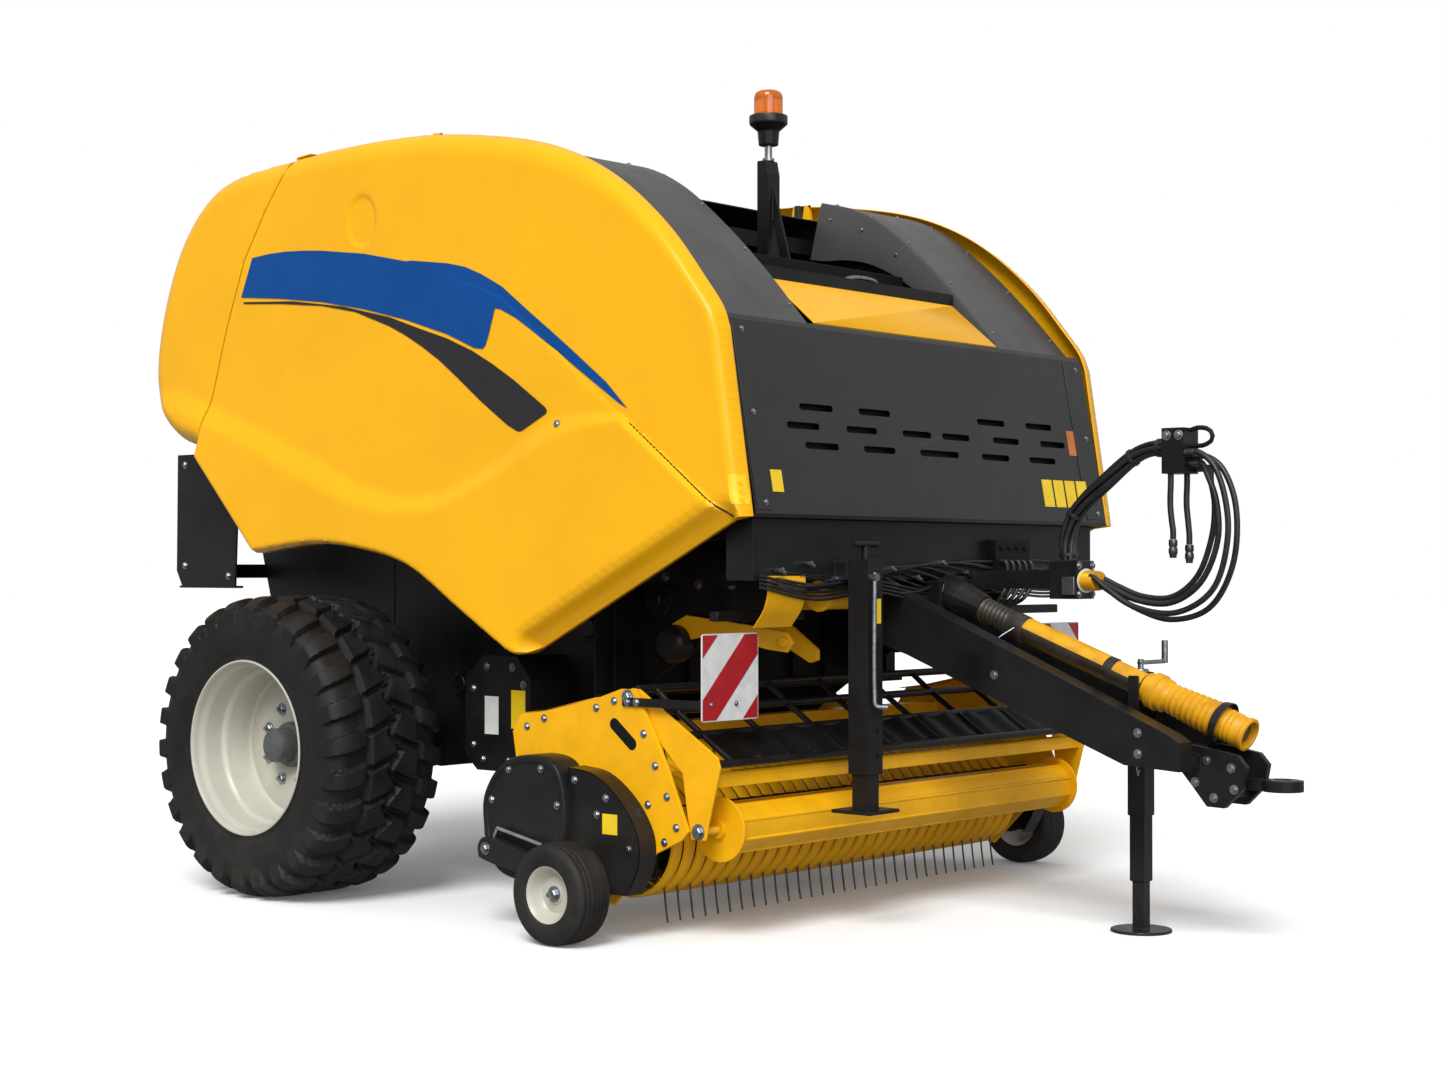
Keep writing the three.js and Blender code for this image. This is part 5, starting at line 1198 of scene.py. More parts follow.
class BALER_OT_chassis(Operator):
    """Finishes the chassis and tailgate frames, the cylinders and what is bolted to them"""

    bl_idname = "baler.chassis"
    bl_label = "Chassis and tailgate frame"

    def execute(self, context):
        dress(["chassis_frame", "axle_beam", "front_beam", "tailgate_frame", "tail_wings", "gearbox"],
              "black", 0.003)
        dress(pair("cylinder_barrel"), "black", 0.002)
        dress(pair("cylinder_rod"), "chrome", 0.0015)
        dress(["lift_arms"], "yellow", 0.003)
        for side, sign in SIDES:
            bolts = Shape()
            for x, z in ((0.640, 0.560), (0.640, 0.760), (0.710, 0.840), (0.840, 0.840), (0.895, 0.780),
                         (0.890, 0.590), (0.820, 0.510), (0.690, 0.510)):
                bolts.bolt((x, -0.860, z), (0, -1, 0), 0.010)
            for x in np.arange(0.15, 1.80, 0.15):
                z = min(1.16 + 0.03 * math.sin(x * 7), 1.30)
                bolts.bolt((x, -0.618, z), (0, -1, 0), 0.012)
            bolts.flipped(sign).make(f"wall_bolts_{side}", "chassis", "zinc", "bare_steel")
            # A raised rib, bearing housings and a grease line along each chamber wall.
            fittings = Shape()
            for x, z in ((1.020, 0.980), (1.330, 1.080), (1.640, 1.190), (1.780, 1.520), (1.600, 1.850),
                         (1.200, 2.120), (0.700, 2.320), (0.200, 2.400), (0.350, 0.760), (0.250, 1.250)):
                fittings.lathe([(0, 0.052), (0.032, 0.052), (0.036, 0.048), (0.038, 0.020), (0.062, 0.018),
                                (0.064, 0.0), (0, 0.0)], (x, -0.618, z), (0, -1, 0), 28)
                for k in range(4):
                    a = math.pi / 4 + k * math.pi / 2
                    fittings.bolt((x + 0.050 * math.cos(a), -0.637, z + 0.050 * math.sin(a)), (0, -1, 0),
                                  0.007)
            fittings.box(0.10, 1.86, -0.650, -0.6185, 1.205, 1.245)
            fittings.flipped(sign).make(f"wall_fittings_{side}", "chassis", "black", "black_steel",
                                        bevel=0.0015)
            lines = Shape()
            for k in range(3):
                z = 1.262 + k * 0.014
                lines.tube(smooth([(0.150, -0.634, z), (0.700, -0.634, z + 0.010), (1.300, -0.634, z - 0.004),
                                   (1.830, -0.634, z + 0.060)], 12), 0.0045, 10)
            lines.flipped(sign).make(f"grease_lines_{side}", "chassis", "hose", "hose_rubber")
            tail = Shape()
            for x, z in ((-0.880, 1.600), (-0.880, 1.200), (-0.600, 1.580), (-0.600, 1.160)):
                tail.bolt((x, -1.000, z), (0, -1, 0), 0.010)
            for x, z in ((-0.790, 1.300), (-0.760, 1.000), (-0.520, 0.790), (-0.250, 0.660), (-0.760, 1.750),
                         (-0.660, 2.200), (-0.400, 2.480)):
                tail.bolt((x, -0.618, z), (0, -1, 0), 0.012)
            tail.flipped(sign).make(f"tail_bolts_{side}", "tailgate", "zinc", "bare_steel")
            lamp = Shape()
            lamp.box(-0.9350, -0.9180, -0.975, -0.800, 1.208, 1.300)
            lamp.flipped(sign).make(f"tail_lamp_{side}", "tailgate", "reflect_red", "orange_lens",
                                    bevel=0.006)
        # Ribs and a ladder of cross bars on the tailgate's shell.
        ribs = Shape()
        for x, z in ((-0.876, 1.560), (-0.874, 1.420)):
            ribs.box(x - 0.016, x - 0.004, -0.600, 0.600, z - 0.02, z + 0.02)
        ribs.make("tail_ribs", "tailgate", "black", "black_steel", bevel=0.002)
        beam = Shape()
        # Pipes and a valve block under the front panel.
        beam.box(2.0605, 2.100, 0.300, 0.520, 1.170, 1.290)
        for k in range(4):
            beam.bolt((2.100, 0.335 + k * 0.050, 1.262), (1, 0, 0), 0.009)
        beam.make("valve_block", "chassis", "inner", "black_steel", bevel=0.002)
        pipes = Shape()
        for k in range(5):
            y = 0.328 + k * 0.040
            pipes.tube(smooth([(2.100, y, 1.215), (2.118, y, 1.214), (2.126, y, 1.206), (2.128, y, 1.160),
                               (2.128, y - 0.010, 1.120), (2.110, y - 0.040, 1.075),
                               (2.000, y - 0.050, 1.040)], 6),
                       0.007, 12)
        pipes.make("valve_pipes", "chassis", "hose", "hose_rubber")
        wiring = Shape()
        for k in range(4):
            z = 1.100 + 0.012 * k
            wiring.tube(smooth([(2.075, -0.980, z + 0.030), (2.072, -0.700, z - 0.012),
                                (2.078, -0.400, z + 0.010),
                                (2.070, -0.100, z - 0.020), (2.074, 0.300, z + 0.006),
                                (2.070, 0.700, z - 0.014),
                                (2.076, 0.980, z + 0.020)], 10), 0.005, 10)
        for k in range(11):
            a, b = 0.7 * k, 0.45 + 0.11 * k
            way = [(2.072 + 0.012 * math.sin(a + 3 * y), y,
                    1.190 + 0.030 * math.sin(a + b * 7 * y) - 0.006 * k)
                   for y in np.linspace(-0.900 + 0.13 * (k % 4), 0.900 - 0.17 * (k % 3), 9)]
            wiring.tube(smooth(way, 6), 0.0035 + 0.0012 * (k % 3), 8)
        wiring.make("front_wiring", "chassis", "hose", "hose_rubber")
        clips = Shape()
        for k, y in enumerate(np.linspace(-0.880, 0.880, 13)):
            z = 1.185 + 0.028 * math.sin(2.3 * k)
            clips.tube([(2.0605, y, z), (2.086, y, z)], 0.008, 10)
            clips.tube([(2.084, y - 0.012, z), (2.084, y + 0.014, z - 0.010)], 0.006, 10)
        clips.make("front_fittings", "chassis", "zinc", "bare_steel")
        plates = Shape()
        plates.plate([(1.660, 1.135), (1.740, 1.135), (1.750, 1.185), (1.720, 1.235), (1.660, 1.235)], -0.545,
                     -0.555)
        plates.plate([(1.660, 1.135), (1.740, 1.135), (1.750, 1.185), (1.720, 1.235), (1.660, 1.235)], 0.545,
                     0.555)
        plates.make("lift_brackets", "chassis", "yellow", "yellow_steel", bevel=0.002)
        links = Shape()
        links.plate([(1.380, 0.950), (1.400, 1.000), (1.463, 1.029), (1.775, 0.996), (1.905, 0.978),
                     (1.930, 0.945),
                     (1.905, 0.912), (1.820, 0.920), (1.700, 0.945), (1.580, 0.965), (1.430, 0.935)], -0.640,
                     -0.628)
        links.tube([(1.895, -0.6405, 0.945), (1.895, -0.652, 0.945)], 0.018, 20)
        links.mirrored().make("lift_links", "chassis", "yellow", "yellow_steel", bevel=0.002)
        # A black housing closes the back of the space over the pick-up; its deep black is painted shade.
        housing = Shape().box(1.236, 1.244, -0.860, 0.860, 0.745, 1.130)
        for y in np.linspace(-0.780, 0.780, 9):
            housing.box(1.244, 1.264, y - 0.006, y + 0.006, 0.760, 1.110)
        housing.box(1.244, 1.280, -0.860, 0.860, 0.745, 0.761)
        housing.make("feed_housing", "chassis", "inner", "black_steel", bevel=0.002)
        side_box = Shape()
        side_box.box(1.880, 1.915, -1.000, -0.560, 1.020, 1.052)
        side_box.box(1.800, 1.900, -0.640, -0.6185, 1.000, 1.090)
        side_box.lathe([(0, 0.0), (0.060, 0.0), (0.066, 0.008), (0.066, 0.060), (0.050, 0.078), (0, 0.078)],
                       (1.420, -0.618, 0.930), (0, -1, 0), 36)
        side_box.mirrored().make("side_bars", "chassis", "black", "black_steel", bevel=0.004)
        for name, finish, x, z in (("case_label", "vinyl_white", 0.700, 0.600),
                                   ("case_tag", "vinyl_yellow", 0.835, 0.625)):
            label = Shape().plate([(x, z), (x, z + 0.135), (x + 0.070, z + 0.135), (x + 0.070, z)], -0.8612,
                                  -0.8602)
            label.make(name, "chassis", finish, "black_steel")
        # A curved yellow guard and a yellow tube show below the beam's right end.
        guard = Shape()
        curve = smooth([(2.064, 1.165), (2.066, 1.120), (2.050, 1.060), (2.005, 1.000)], 6)
        guard.plate([*curve, *(curve[::-1] - (0.004, 0))], -0.930, -0.740)
        guard.make("beam_guard", "chassis", "yellow", "yellow_steel", bevel=0.001)
        tube = Shape().tube([(1.985, -0.560, 1.098), (1.985, -0.300, 1.098)], 0.045, 32)
        tube.tube([(1.985, -0.575, 1.098), (1.985, -0.560, 1.098)], 0.052, 32)
        tube.make("beam_tube", "chassis", "yellow", "yellow_steel", bevel=0.002)
        return {"FINISHED"}


# ---------------------------------------------------------------- drawbar and shaft


class BALER_OT_drawbar(Operator):
    """Finishes the drawbar with its hitch, jack and stand"""

    bl_idname = "baler.drawbar"
    bl_label = "Drawbar, jack and stand"

    def execute(self, context):
        dress(["drawbar", "drawbar_eye", "jack_housing", "jack_leg", "stand_post", "stand_leg"], "black",
              0.003)
        bolts = Shape()
        for x, z in ((3.052, 0.600), (3.140, 0.590), (3.225, 0.570), (3.235, 0.505), (3.165, 0.475),
                     (3.100, 0.520)):
            for s in (-1, 1):
                bolts.bolt((x, s * 0.084, z), (0, s, 0), 0.010)
        for x, z in ((2.440, 0.840), (2.975, 0.675), (2.975, 0.610)):
            for s in (-1, 1):
                bolts.bolt((x, s * 0.220, z), (0, s, 0), 0.010)
        bolts.make("drawbar_bolts", "chassis", "zinc", "bare_steel")
        eye = Shape().lathe([(0.0275, -0.0190), (0.050, -0.0190), (0.052, -0.0172), (0.0275, -0.0172)],
                            (3.357, 0, 0.518), (0, 0, -1), 40, close=True)
        eye.make("eye_collar", "chassis", "steel", "bare_steel")
        crank = Shape()
        x, y = 2.800, 0.100
        crank.lathe([(0, 0.012), (0.024, 0.010), (0.030, 0.0), (0, 0.0)], (x, y, 0.850), (0, 0, 1), 24)
        crank.tube([(x, y, 0.855), (x, y, 0.892)], 0.010, 16)
        crank.tube([(x, y - 0.012, 0.880), (x + 0.004, y + 0.150, 0.880)], 0.0075, 14)
        crank.tube(smooth([(x + 0.004, y + 0.150, 0.874), (x + 0.004, y + 0.150, 0.950)], 4), 0.011, 16)
        crank.make("jack_crank", "chassis", "zinc", "bare_steel", bevel=0.001)
        plate = Shape().box(x + 0.0322, x + 0.0330, y - 0.022, y + 0.022, 0.755, 0.820)
        plate.make("jack_plate", "chassis", "steel", "bare_steel")
        pin = Shape()
        for s in (-1, 1):
            pin.tube([(x + 0.020, y + s * 0.0322, 0.560), (x + 0.020, y + s * 0.052, 0.560)], 0.009, 16)
        pin.tube(smooth([(x + 0.020, y - 0.052, 0.560), (x + 0.020, y - 0.060, 0.540),
                         (x + 0.020, y - 0.052, 0.515),
                         (x + 0.020, y - 0.043, 0.530)], 6), 0.0025, 8)
        pin.make("jack_pin", "chassis", "zinc", "bare_steel")
        sx, sy = 2.150, -0.535
        handle = Shape().tube([(sx, sy, 1.218), (sx, sy, 1.262)], 0.013, 16)
        handle.tube([(sx, sy - 0.062, 1.268), (sx, sy + 0.062, 1.268)], 0.011, 16)
        handle.make("stand_handle", "chassis", "black", "black_steel", bevel=0.001)
        rod = Shape().tube(smooth([(sx + 0.052, sy - 0.020, 1.175), (sx + 0.052, sy - 0.020, 0.780),
                                   (sx + 0.056, sy - 0.018, 0.745), (sx + 0.082, sy + 0.010, 0.740)], 8),
                                   0.008, 14)
        rod.tube([(sx + 0.040, sy - 0.020, 1.160), (sx + 0.064, sy - 0.020, 1.160)], 0.013, 14)
        rod.make("stand_rod", "chassis", "zinc", "bare_steel")
        # The stand's holes are thin black discs: painted shade inside the holes.
        holes = Shape()
        for z in (0.580, 0.660, 0.740, 0.820):
            holes.tube([(sx + 0.0398, sy + 0.012, z), (sx + 0.0404, sy + 0.012, z)], 0.011, 20)
        holes.make("stand_holes", "chassis", "inner", "black_steel")
        label = Shape().box(sx + 0.0402, sx + 0.0410, sy - 0.014, sy + 0.030, 1.010, 1.090)
        label.make("stand_label", "chassis", "vinyl_yellow", "black_steel")
        return {"FINISHED"}


SHAFT_REAR = np.array([2.140, 0.0, 1.090])
SHAFT_FRONT = np.array([3.245, 0.0, 0.668])


class BALER_OT_shaft(Operator):
    """Builds the drive shaft's guard: bellows, telescopic tubes and a ribbed cone"""

    bl_idname = "baler.shaft"
    bl_label = "Drive shaft"

    def execute(self, context):
        dress(["pto_shaft"], "steel", 0.001)
        way = SHAFT_FRONT - SHAFT_REAR
        length = float(np.linalg.norm(way))
        way /= length
        rear = [(0.031, 0.1205), (0.044, 0.1205)]
        # Soft bellows next to the gearbox.
        for k in range(7):
            t = 0.126 + k * 0.017
            rear += [(0.0445, t), (0.0435, t + 0.004), (0.0395, t + 0.0085), (0.0435, t + 0.013)]
        rear += [(0.044, 0.250), (0.046, 0.256), (0.046, 0.300), (0.0425, 0.304), (0.0425, 0.640),
                 (0.0435, 0.644),
                 (0.0445, 0.664), (0.0400, 0.668), (0.0400, 0.789), (0.031, 0.789)]
        tube = Shape().lathe(rear, SHAFT_REAR, way, 48, close=True)
        made = tube.make("shaft_guard_tube", "chassis", "tube", "guard_plastic", angle=30)
        # A yellow flange, then a ribbed cone.
        cone = [(0.031, 0.790), (0.041, 0.790), (0.050, 0.796), (0.052, 0.815), (0.060, 0.818),
                (0.061, 0.846),
                (0.056, 0.850), (0.055, 0.872), (0.047, 0.880)]
        for k in range(8):
            t = 0.890 + k * 0.022
            r = 0.0450 + 0.0014 * k
            cone += [(r, t), (r + 0.0045, t + 0.005), (r + 0.0045, t + 0.010), (r, t + 0.015)]
        cone += [(0.055, 1.068), (0.050, 1.070), (0.040, 0.900), (0.031, 0.890)]
        yellow = Shape().lathe(cone, SHAFT_REAR, way, 48, close=True)
        end = length
        cup = [(0.0440, 1.072), (0.0540, 1.074)]
        for k in range(3):
            t = 1.098 + k * 0.016
            cup += [(0.0500, t), (0.0525, t + 0.004), (0.0525, t + 0.008), (0.0500, t + 0.012)]
        cup += [(0.0500, end - 0.018), (0.0545, end - 0.014), (0.0545, end - 0.002), (0.0520, end),
                (0.0440, end),
                (0.0425, end - 0.006), (0.0425, 1.076)]
        yellow.lathe(cup, SHAFT_REAR, way, 48, close=True)
        yellow.make("shaft_guard_cone", "chassis", "guard", "guard_plastic", angle=40)
        ring = Shape().lathe([(0.0550, 1.062), (0.0660, 1.070), (0.0715, 1.094), (0.0690, 1.096),
                              (0.0640, 1.077),
                              (0.0550, 1.071)], SHAFT_REAR, way, 48, close=True)
        ring.make("shaft_guard_ring", "chassis", "hose", "guard_plastic", angle=40)
        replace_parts(made, "pto_guard")
        side = np.cross(way, (0, 1, 0))
        stripe = Shape()
        # The tubes are yellow along their upper side and dark brown below.
        for t0, t1, r in ((0.306, 0.638, 0.0430), (0.672, 0.786, 0.0405)):
            strip = [SHAFT_REAR + way * t + r * (math.cos(a) * side + math.sin(a) * np.array([0, 1.0, 0]))
                     for t in (t0, t1) for a in np.linspace(-1.30, 1.30, 21)]
            stripe.add(strip, [(k, k + 1, k + 22, k + 21) for k in range(20)])
        stripe.make("shaft_stripe", "chassis", "guard", "guard_plastic")
        # A small chain keeps the guard from turning.
        chain = Shape()
        points = smooth([SHAFT_REAR + way * 0.280 + np.array([0, -0.044, 0]),
                         SHAFT_REAR + way * 0.22 + (0.02, -0.07, -0.05),
                         (2.300, -0.120, 0.900), (2.290, -0.144, 0.930)], 10)
        for a, b in zip(points[:-1:2], points[2::2]):
            mid, half = (a + b) / 2, (b - a) / 2
            chain.tube([mid - half * 1.15, mid + half * 1.15], 0.0030, 8)
        chain.make("guard_chain", "chassis", "zinc", "bare_steel")
        return {"FINISHED"}


# ---------------------------------------------------------------- beacon


class BALER_OT_beacon(Operator):
    """Builds the beacon's lens and lamp on its mast"""

    bl_idname = "baler.beacon"
    bl_label = "Beacon"

    def execute(self, context):
        dress(["beacon_mast"], "black", 0.003)
        at, up = (1.300, 0, 0), (0, 0, 1)
        dome = [(0.0500, 2.8585), (0.0535, 2.8585)]
        # Fine rings are moulded into the lens.
        for k in range(9):
            z = 2.864 + k * 0.0068
            dome += [(0.0535, z), (0.0528, z + 0.0034)]
        dome += [(0.0530, 2.926), (0.0505, 2.936), (0.0450, 2.944), (0.0350, 2.949), (0.0180, 2.951),
                 (0, 2.951)]
        inner = [(0, 2.948), (0.034, 2.946), (0.0430, 2.941), (0.0480, 2.933), (0.0500, 2.924)]
        lens = Shape().lathe(dome + inner, at, up, 48)
        made = lens.make("beacon_lens", "chassis", "lens", "orange_lens", angle=50)
        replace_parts(made, "beacon_dome")
        lamp = Shape().lathe([(0, 2.859), (0.030, 2.859), (0.031, 2.866), (0.012, 2.874), (0.012, 2.912),
                              (0.009, 2.920), (0, 2.922)], at, up, 32)
        lamp.make("beacon_lamp", "chassis", "lamp", "orange_lens", angle=50)
        stem = Shape().lathe([(0.0125, 2.690), (0.0220, 2.690), (0.0220, 2.700), (0.0140, 2.702),
                              (0.0140, 2.745),
                              (0.0125, 2.745)], at, up, 32, close=True)
        stem.make("beacon_stem", "chassis", "zinc", "bare_steel", angle=40)
        collar = Shape().lathe([(0.0705, 2.830), (0.0712, 2.834), (0.0712, 2.852), (0.0705, 2.856)], at, up,
                               48)
        collar.make("beacon_collar", "chassis", "hose", "black_steel")
        return {"FINISHED"}


# ---------------------------------------------------------------- pick-up

REEL = np.array([1.530, 0.310])
BAND_R = 0.200
BAND_W = 0.050
REEL_HALF = 1.000
ROLLER = (1.907, 0.361)


def on_reel(radius, degrees):
    a = math.radians(degrees)
    return (REEL[0] + radius * math.cos(a), REEL[1] + radius * math.sin(a))

# Each band is crowned, with its edges rolled in towards the reel.
# The points are a part of the width and a height over the band's line.
BAND_SECTION = (
    (-0.5, -0.0110), (-0.44, -0.0035), (-0.30, 0), (0.30, 0), (0.44, -0.0035), (0.5, -0.0110),
    (0.46, -0.0120), (0.40, -0.0060), (0.28, -0.0030), (-0.28, -0.0030), (-0.40, -0.0060), (-0.46, -0.0120))


class BALER_OT_pickup(Operator):
    """Builds the pick-up: stripper bands, sprung tines and side plates"""

    bl_idname = "baler.pickup"
    bl_label = "Pick-up"

    def execute(self, context):
        sizes = context.scene.baler_sizes
        dress(["pickup_frame"], "yellow", 0.003)
        dress(["tine_reel"], "black", 0.002)
        pitch = (2 * REEL_HALF - BAND_W) / (sizes.bands - 1)
        path = [(1.290, 0.5860), (1.330, 0.5780)]
        path += [on_reel(BAND_R, a) for a in (100, 85, 65, 45, 25, 5, -15, -35, -55, -75, -95, -110, -120)]
        line = smooth(path, 6)
        slope = np.gradient(line, axis=0)
        inwards = -np.column_stack([slope[:, 1], -slope[:, 0]]) / np.linalg.norm(slope, axis=1)[:, None]
        bands = Shape()
        for k in range(sizes.bands):
            y = -REEL_HALF + BAND_W / 2 + k * pitch
            bands.loft([[(p[0] + n[0] * t, y + u * BAND_W, p[1] + n[1] * t) for u, t in BAND_SECTION]
                        for p, n in zip(line, inwards)])
        bands.plate([(1.290, 0.5893), (1.290, 0.5835), (1.216, 0.5835), (1.216, 0.5893)], -1.0870, 1.0870)
        foot = on_reel(BAND_R, -120)
        bands.box(foot[0] - 0.012, foot[0] + 0.010, -1.0870, 1.0870, foot[1] + 0.003, foot[1] + 0.014)
        made = bands.make("stripper_band_set", "pickup", "yellow", "yellow_steel", angle=35)
        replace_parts(made, "stripper_bands")
        tines = Shape()
        for bar in (45, 135, 225, 315):
            for k in range(sizes.bands - 1):
                y = -REEL_HALF + BAND_W / 2 + (k + 0.5) * pitch
                root = on_reel(0.150, bar)
                # Each tine trails its bar by an eighth of a turn, so it points straight down below.
                lean = math.radians(bar - 45)
                points = [(root[0] + t * math.cos(lean + 0.10 * t / 0.17),
                           root[1] + t * math.sin(lean + 0.10 * t / 0.17))
                          for t in (0.0, 0.05, 0.10, 0.14, 0.170)]
                tines.tube(smooth([(x, y, z) for x, z in points], 4), 0.0034, 8)
                # The tine's spring coils lie round the bar.
                turns = np.linspace(0, 4 * math.pi, 24)
                coil = [(root[0] + 0.0195 * math.cos(a), y - 0.014 + 0.028 * a / (4 * math.pi),
                         root[1] + 0.0195 * math.sin(a)) for a in turns]
                tines.tube(coil, 0.0030, 5)
        tines.make("tines", "reel", "tine", "bare_steel", angle=50)
        drum = Shape().lathe([(0, -0.985), (0.128, -0.985), (0.128, 0.985), (0, 0.985)],
                             (REEL[0], 0, REEL[1]),
                             (0, 1, 0), 40)
        drum.make("reel_drum", "reel", "inner", "black_steel", angle=30)
        for side, sign in SIDES:
            bolts = Shape()
            for x, z in ((1.160, 0.660), (1.240, 0.690), (1.480, 0.735), (1.560, 0.760), (1.690, 0.660),
                         (1.740, 0.560), (1.790, 0.465), (1.709, 0.435), (1.830, 0.370), (1.780, 0.320)):
                bolts.bolt((x, -1.100, z), (0, -1, 0), 0.009)
            bolts.flipped(sign).make(f"pickup_bolts_{side}", "pickup", "zinc", "bare_steel")
            # The slot in the side plate is a thin black plate: painted shade inside the slot.
            slot = Shape()
            c, r, h = (1.600, 0.655), 0.020, 0.052
            ring = [(c[0] + h * np.sign(math.cos(a)) * 0.94 + r * math.cos(a), c[1] + r * math.sin(a))
                    for a in np.linspace(0, 2 * math.pi, 32, endpoint=False) + 0.05]
            tilt = math.radians(-38)
            ring = [(c[0] + (x - c[0]) * math.cos(tilt) - (z - c[1]) * math.sin(tilt),
                     c[1] + (x - c[0]) * math.sin(tilt) + (z - c[1]) * math.cos(tilt)) for x, z in ring]
            slot.plate(ring, -1.1006, -1.1002)
            slot.flipped(sign).make(f"pickup_slot_{side}", "pickup", "inner", "black_steel")
            edge = Shape()
            # A folded flange stiffens the side plate's upper front edge.
            for (x0, z0), (x1, z1) in (((1.130, 0.700), (1.244, 0.715)), ((1.244, 0.715), (1.480, 0.765))):
                edge.loft([[(x, y, z + t) for y,
                            t in ((-1.100, 0), (-1.050, 0), (-1.050, 0.004), (-1.100, 0.004))]
                           for x, z in ((x0, z0), (x1, z1))])
            edge.flipped(sign).make(f"pickup_flange_{side}", "pickup", "yellow", "yellow_steel", bevel=0.001)
        return {"FINISHED"}


class BALER_OT_wind_guard(Operator):
    """Builds the roller wind guard and the guide above it"""

    bl_idname = "baler.wind_guard"
    bl_label = "Wind guard"

    def execute(self, context):
        dress(["wind_guard"], "yellow", 0.003)
        x, z = ROLLER
        roller = Shape()
        # Eight flats with a raised seam at every corner.
        section = []
        for k in range(8):
            a = (k + 0.5) * math.pi / 4
            for t, r in ((-0.07, 0.0815), (-0.045, 0.0855), (0.045, 0.0855), (0.07, 0.0815), (0.26, 0.0790),
                         (math.pi / 4 - 0.26, 0.0790)):
                section.append((x + r * math.cos(a + t), z + r * math.sin(a + t)))
        roller.plate(section, -0.974, 0.974)
        roller.make("roller_tube", "wind_roller", "yellow", "yellow_steel", bevel=0.0015, angle=25)
        ends = Shape()
        for s in (-1, 1):
            ends.lathe([(0.020, 0.0), (0.104, 0.0), (0.105, 0.0015), (0.105, 0.0068), (0.1035, 0.0083),
                        (0.020, 0.0083)],
                       (x, s * 0.9745, z), (0, s, 0), 64, close=True)
            ends.lathe([(0.0136, 0.0), (0.030, 0.0), (0.030, 0.012), (0.0136, 0.012)], (x, s * 0.9828, z),
                       (0, s, 0), 32,
                       close=True)
        made = ends.make("roller_ends", "wind_roller", "yellow", "yellow_steel", bevel=0.0008, angle=30)
        shaft = Shape()
        thread = [(0.0, 0.0)]
        for k in range(34):
            thread += [(0.0136, 0.0005 + k * 0.0027), (0.0124, 0.0018 + k * 0.0027)]
        thread += [(0.0, 0.093)]
        for s in (-1, 1):
            shaft.lathe(thread, (x, s * 0.990, z), (0, s, 0), 20)
        shaft.make("roller_shaft", "wind_roller", "yellow", "yellow_steel", angle=50)
        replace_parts(made, "wind_roller")
        bar = Shape().tube([(1.947, -1.0725, 0.534), (1.947, 1.0725, 0.534)], 0.0145, 20)
        bar.make("guard_bar", "wind_guard", "yellow", "yellow_steel")
        guide = Shape()
        rods = ((1.640, 0.800), (1.730, 0.733), (1.840, 0.658), (1.975, 0.575))
        for p in rods:
            guide.tube([(p[0], -1.0735, p[1]), (p[0], 1.0735, p[1])], 0.0135, 20)
        for y in np.linspace(-0.990, 0.990, 8):
            guide.tube(smooth([(1.640, y, 0.800), (1.720, y, 0.740), (1.800, y, 0.686), (1.890, y, 0.628),
                               (1.975, y, 0.575)], 5), 0.0105, 14)
        guide.make("guide_frame", "wind_guard", "black", "black_steel", angle=40)
        sheets = Shape()
        # Wavy sheets lie between the frame's bars.
        ys = np.linspace(-0.975, 0.975, 118)
        wave = 0.006 * np.sin(ys * 42)
        rings = []
        for y, w in zip(ys, wave):
            edge = [(1.846, 0.660), (1.905, 0.620), (1.965, 0.582)]
            top = [(px, y, pz + w + 0.004) for px, pz in edge]
            rings.append(top + [(px, y, pz - 0.003) for px, _, pz in top[::-1]])
        sheets.loft(rings)
        made = sheets.make("guide_sheets", "wind_guard", "inner", "black_steel", angle=50)
        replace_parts(made, "crop_guide")
        bolts = Shape()
        for s in (-1, 1):
            bolts.bolt((1.620, s * 1.1003, 0.775), (0, s, 0), 0.016)
            bolts.bolt((x, s * 1.0815, z), (0, s, 0), 0.017)
        bolts.make("guard_bolts", "wind_guard", "zinc", "bare_steel")
        return {"FINISHED"}


# ---------------------------------------------------------------- warning boards


class BALER_OT_boards(Operator):
    """Builds the striped warning boards and their brackets"""

    bl_idname = "baler.boards"
    bl_label = "Warning boards"

    def execute(self, context):
        x = 1.940
        half = 0.138
        centre = (-0.968, 0.845)
        for side, sign in SIDES:
            back = Shape()
            back.wall(rounded_square(centre, half, 0.010), x - 0.002, x + 0.002)
            made = back.flipped(sign).make(f"board_{side}", "pickup", "reflect_white", "board_sheet",
                                           bevel=0.0008)
            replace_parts(made, f"warning_board_{side}")
            red = Shape()
            # Three red bands run down and outwards at 45 degrees, on both faces.
            for shift in (-0.184, 0.0, 0.184):
                band = stripe(half - 0.004, shift, 0.092)
                if len(band) > 2:
                    points = [(centre[0] - u, centre[1] + v) for u, v in band][::-1]
                    red.wall(points, x + 0.0023, x + 0.0028)
                    red.wall(points, x - 0.0028, x - 0.0023)
            red.flipped(sign).make(f"board_stripes_{side}", "pickup", "reflect_red", "board_sheet")
            arm = Shape()
            arm.box(1.602, x - 0.004, -1.108, -1.1015, 0.746, 0.774)
            arm.box(x - 0.010, x - 0.004, -1.106, -0.900, 0.740, 0.780)
            arm.flipped(sign).make(f"board_arm_{side}", "pickup", "black", "black_steel", bevel=0.001)
            bolts = Shape()
            for y, z in ((-1.060, 0.760), (-0.940, 0.760)):
                bolts.bolt((x + 0.002, y, z), (1, 0, 0), 0.006)
            bolts.bolt((1.625, -1.108, 0.760), (0, -1, 0), 0.009)
            bolts.bolt((1.665, -1.108, 0.760), (0, -1, 0), 0.009)
            bolts.flipped(sign).make(f"board_bolts_{side}", "pickup", "zinc", "bare_steel")
        return {"FINISHED"}


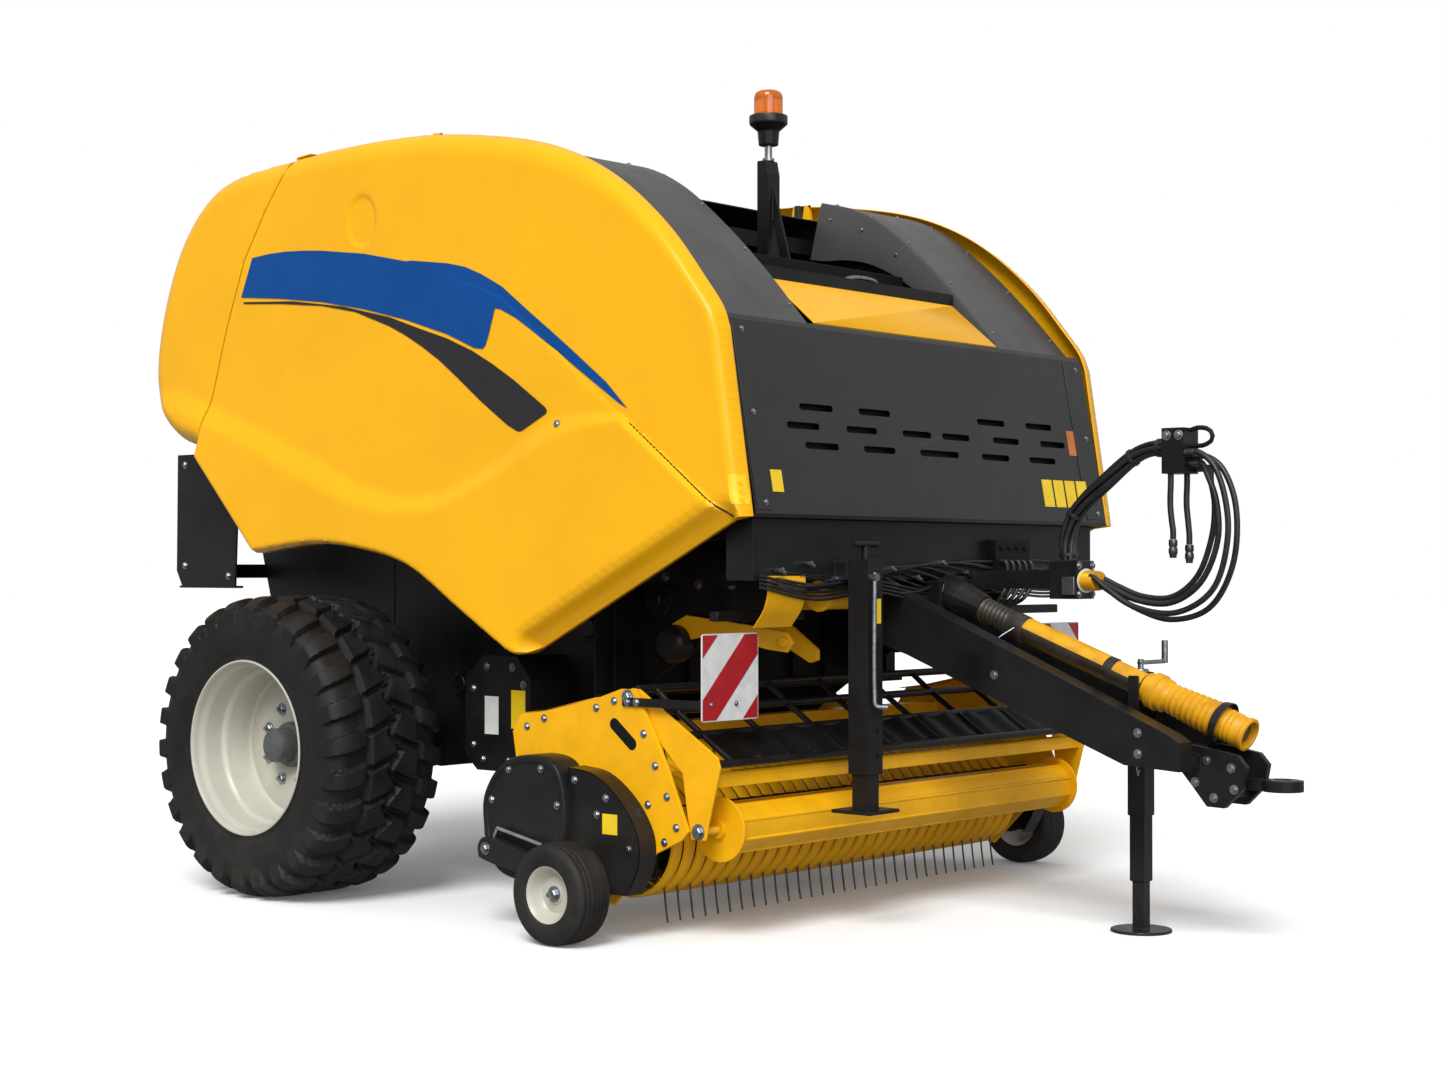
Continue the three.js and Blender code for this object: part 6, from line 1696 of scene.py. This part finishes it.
def rounded_square(centre, half, r):
    points = []
    for k in range(4):
        a0 = k * math.pi / 2
        cx = centre[0] + (half - r) * (1 if k in (0, 3) else -1)
        cy = centre[1] + (half - r) * (1 if k in (0, 1) else -1)
        points += [(cx + r * math.cos(a0 + t), cy + r * math.sin(a0 + t)) for t in np.linspace(0, math.pi / 2,
            5)]
    return points


def stripe(half, shift, width):
    """The part of a 45 degree band of that width that lies in a square."""
    square = [(-half, -half), (half, -half), (half, half), (-half, half)]
    for sign in (1, -1):
        kept = []
        limit = sign * shift + width / 2
        for p, q in zip(square, square[1:] + square[:1]):
            dp, dq = (sign * (v[0] + v[1]) / math.sqrt(2) - limit for v in (p, q))
            if dp <= 0:
                kept.append(p)
            if dp * dq < 0:
                t = dp / (dp - dq)
                kept.append((p[0] + (q[0] - p[0]) * t, p[1] + (q[1] - p[1]) * t))
        square = kept
    return square


# ---------------------------------------------------------------- add-on


class BALER_PT_build(Panel):
    """Builds the baler piece by piece"""

    bl_label = "Round baler"
    bl_idname = "BALER_PT_build"
    bl_space_type = "VIEW_3D"
    bl_region_type = "UI"
    bl_category = "Baler"

    def draw(self, context):
        for group in (context.scene.baler_sizes, context.scene.baler_colours):
            for key in group.bl_rna.properties.keys():
                if key not in ("rna_type", "name"):
                    self.layout.prop(group, key)
        for operator in OPERATORS:
            self.layout.operator(operator.bl_idname)


OPERATORS = (
    BALER_OT_finishes, BALER_OT_stage, BALER_OT_hoses, BALER_OT_covers, BALER_OT_wheels,
    BALER_OT_gauge_wheels,
    BALER_OT_front, BALER_OT_chassis, BALER_OT_drawbar, BALER_OT_shaft, BALER_OT_beacon, BALER_OT_pickup,
    BALER_OT_wind_guard, BALER_OT_boards,
)
CLASSES = (BalerSizes, BalerColours, *OPERATORS, BALER_PT_build)


def register():
    for cls in CLASSES:
        bpy.utils.register_class(cls)
    bpy.types.Scene.baler_sizes = PointerProperty(type=BalerSizes)
    bpy.types.Scene.baler_colours = PointerProperty(type=BalerColours)


def unregister():
    del bpy.types.Scene.baler_colours
    del bpy.types.Scene.baler_sizes
    for cls in reversed(CLASSES):
        bpy.utils.unregister_class(cls)


def main():
    register()
    for operator in OPERATORS:
        group, name = operator.bl_idname.split(".")
        getattr(getattr(bpy.ops, group), name)()


if __name__ == "__main__":
    main()
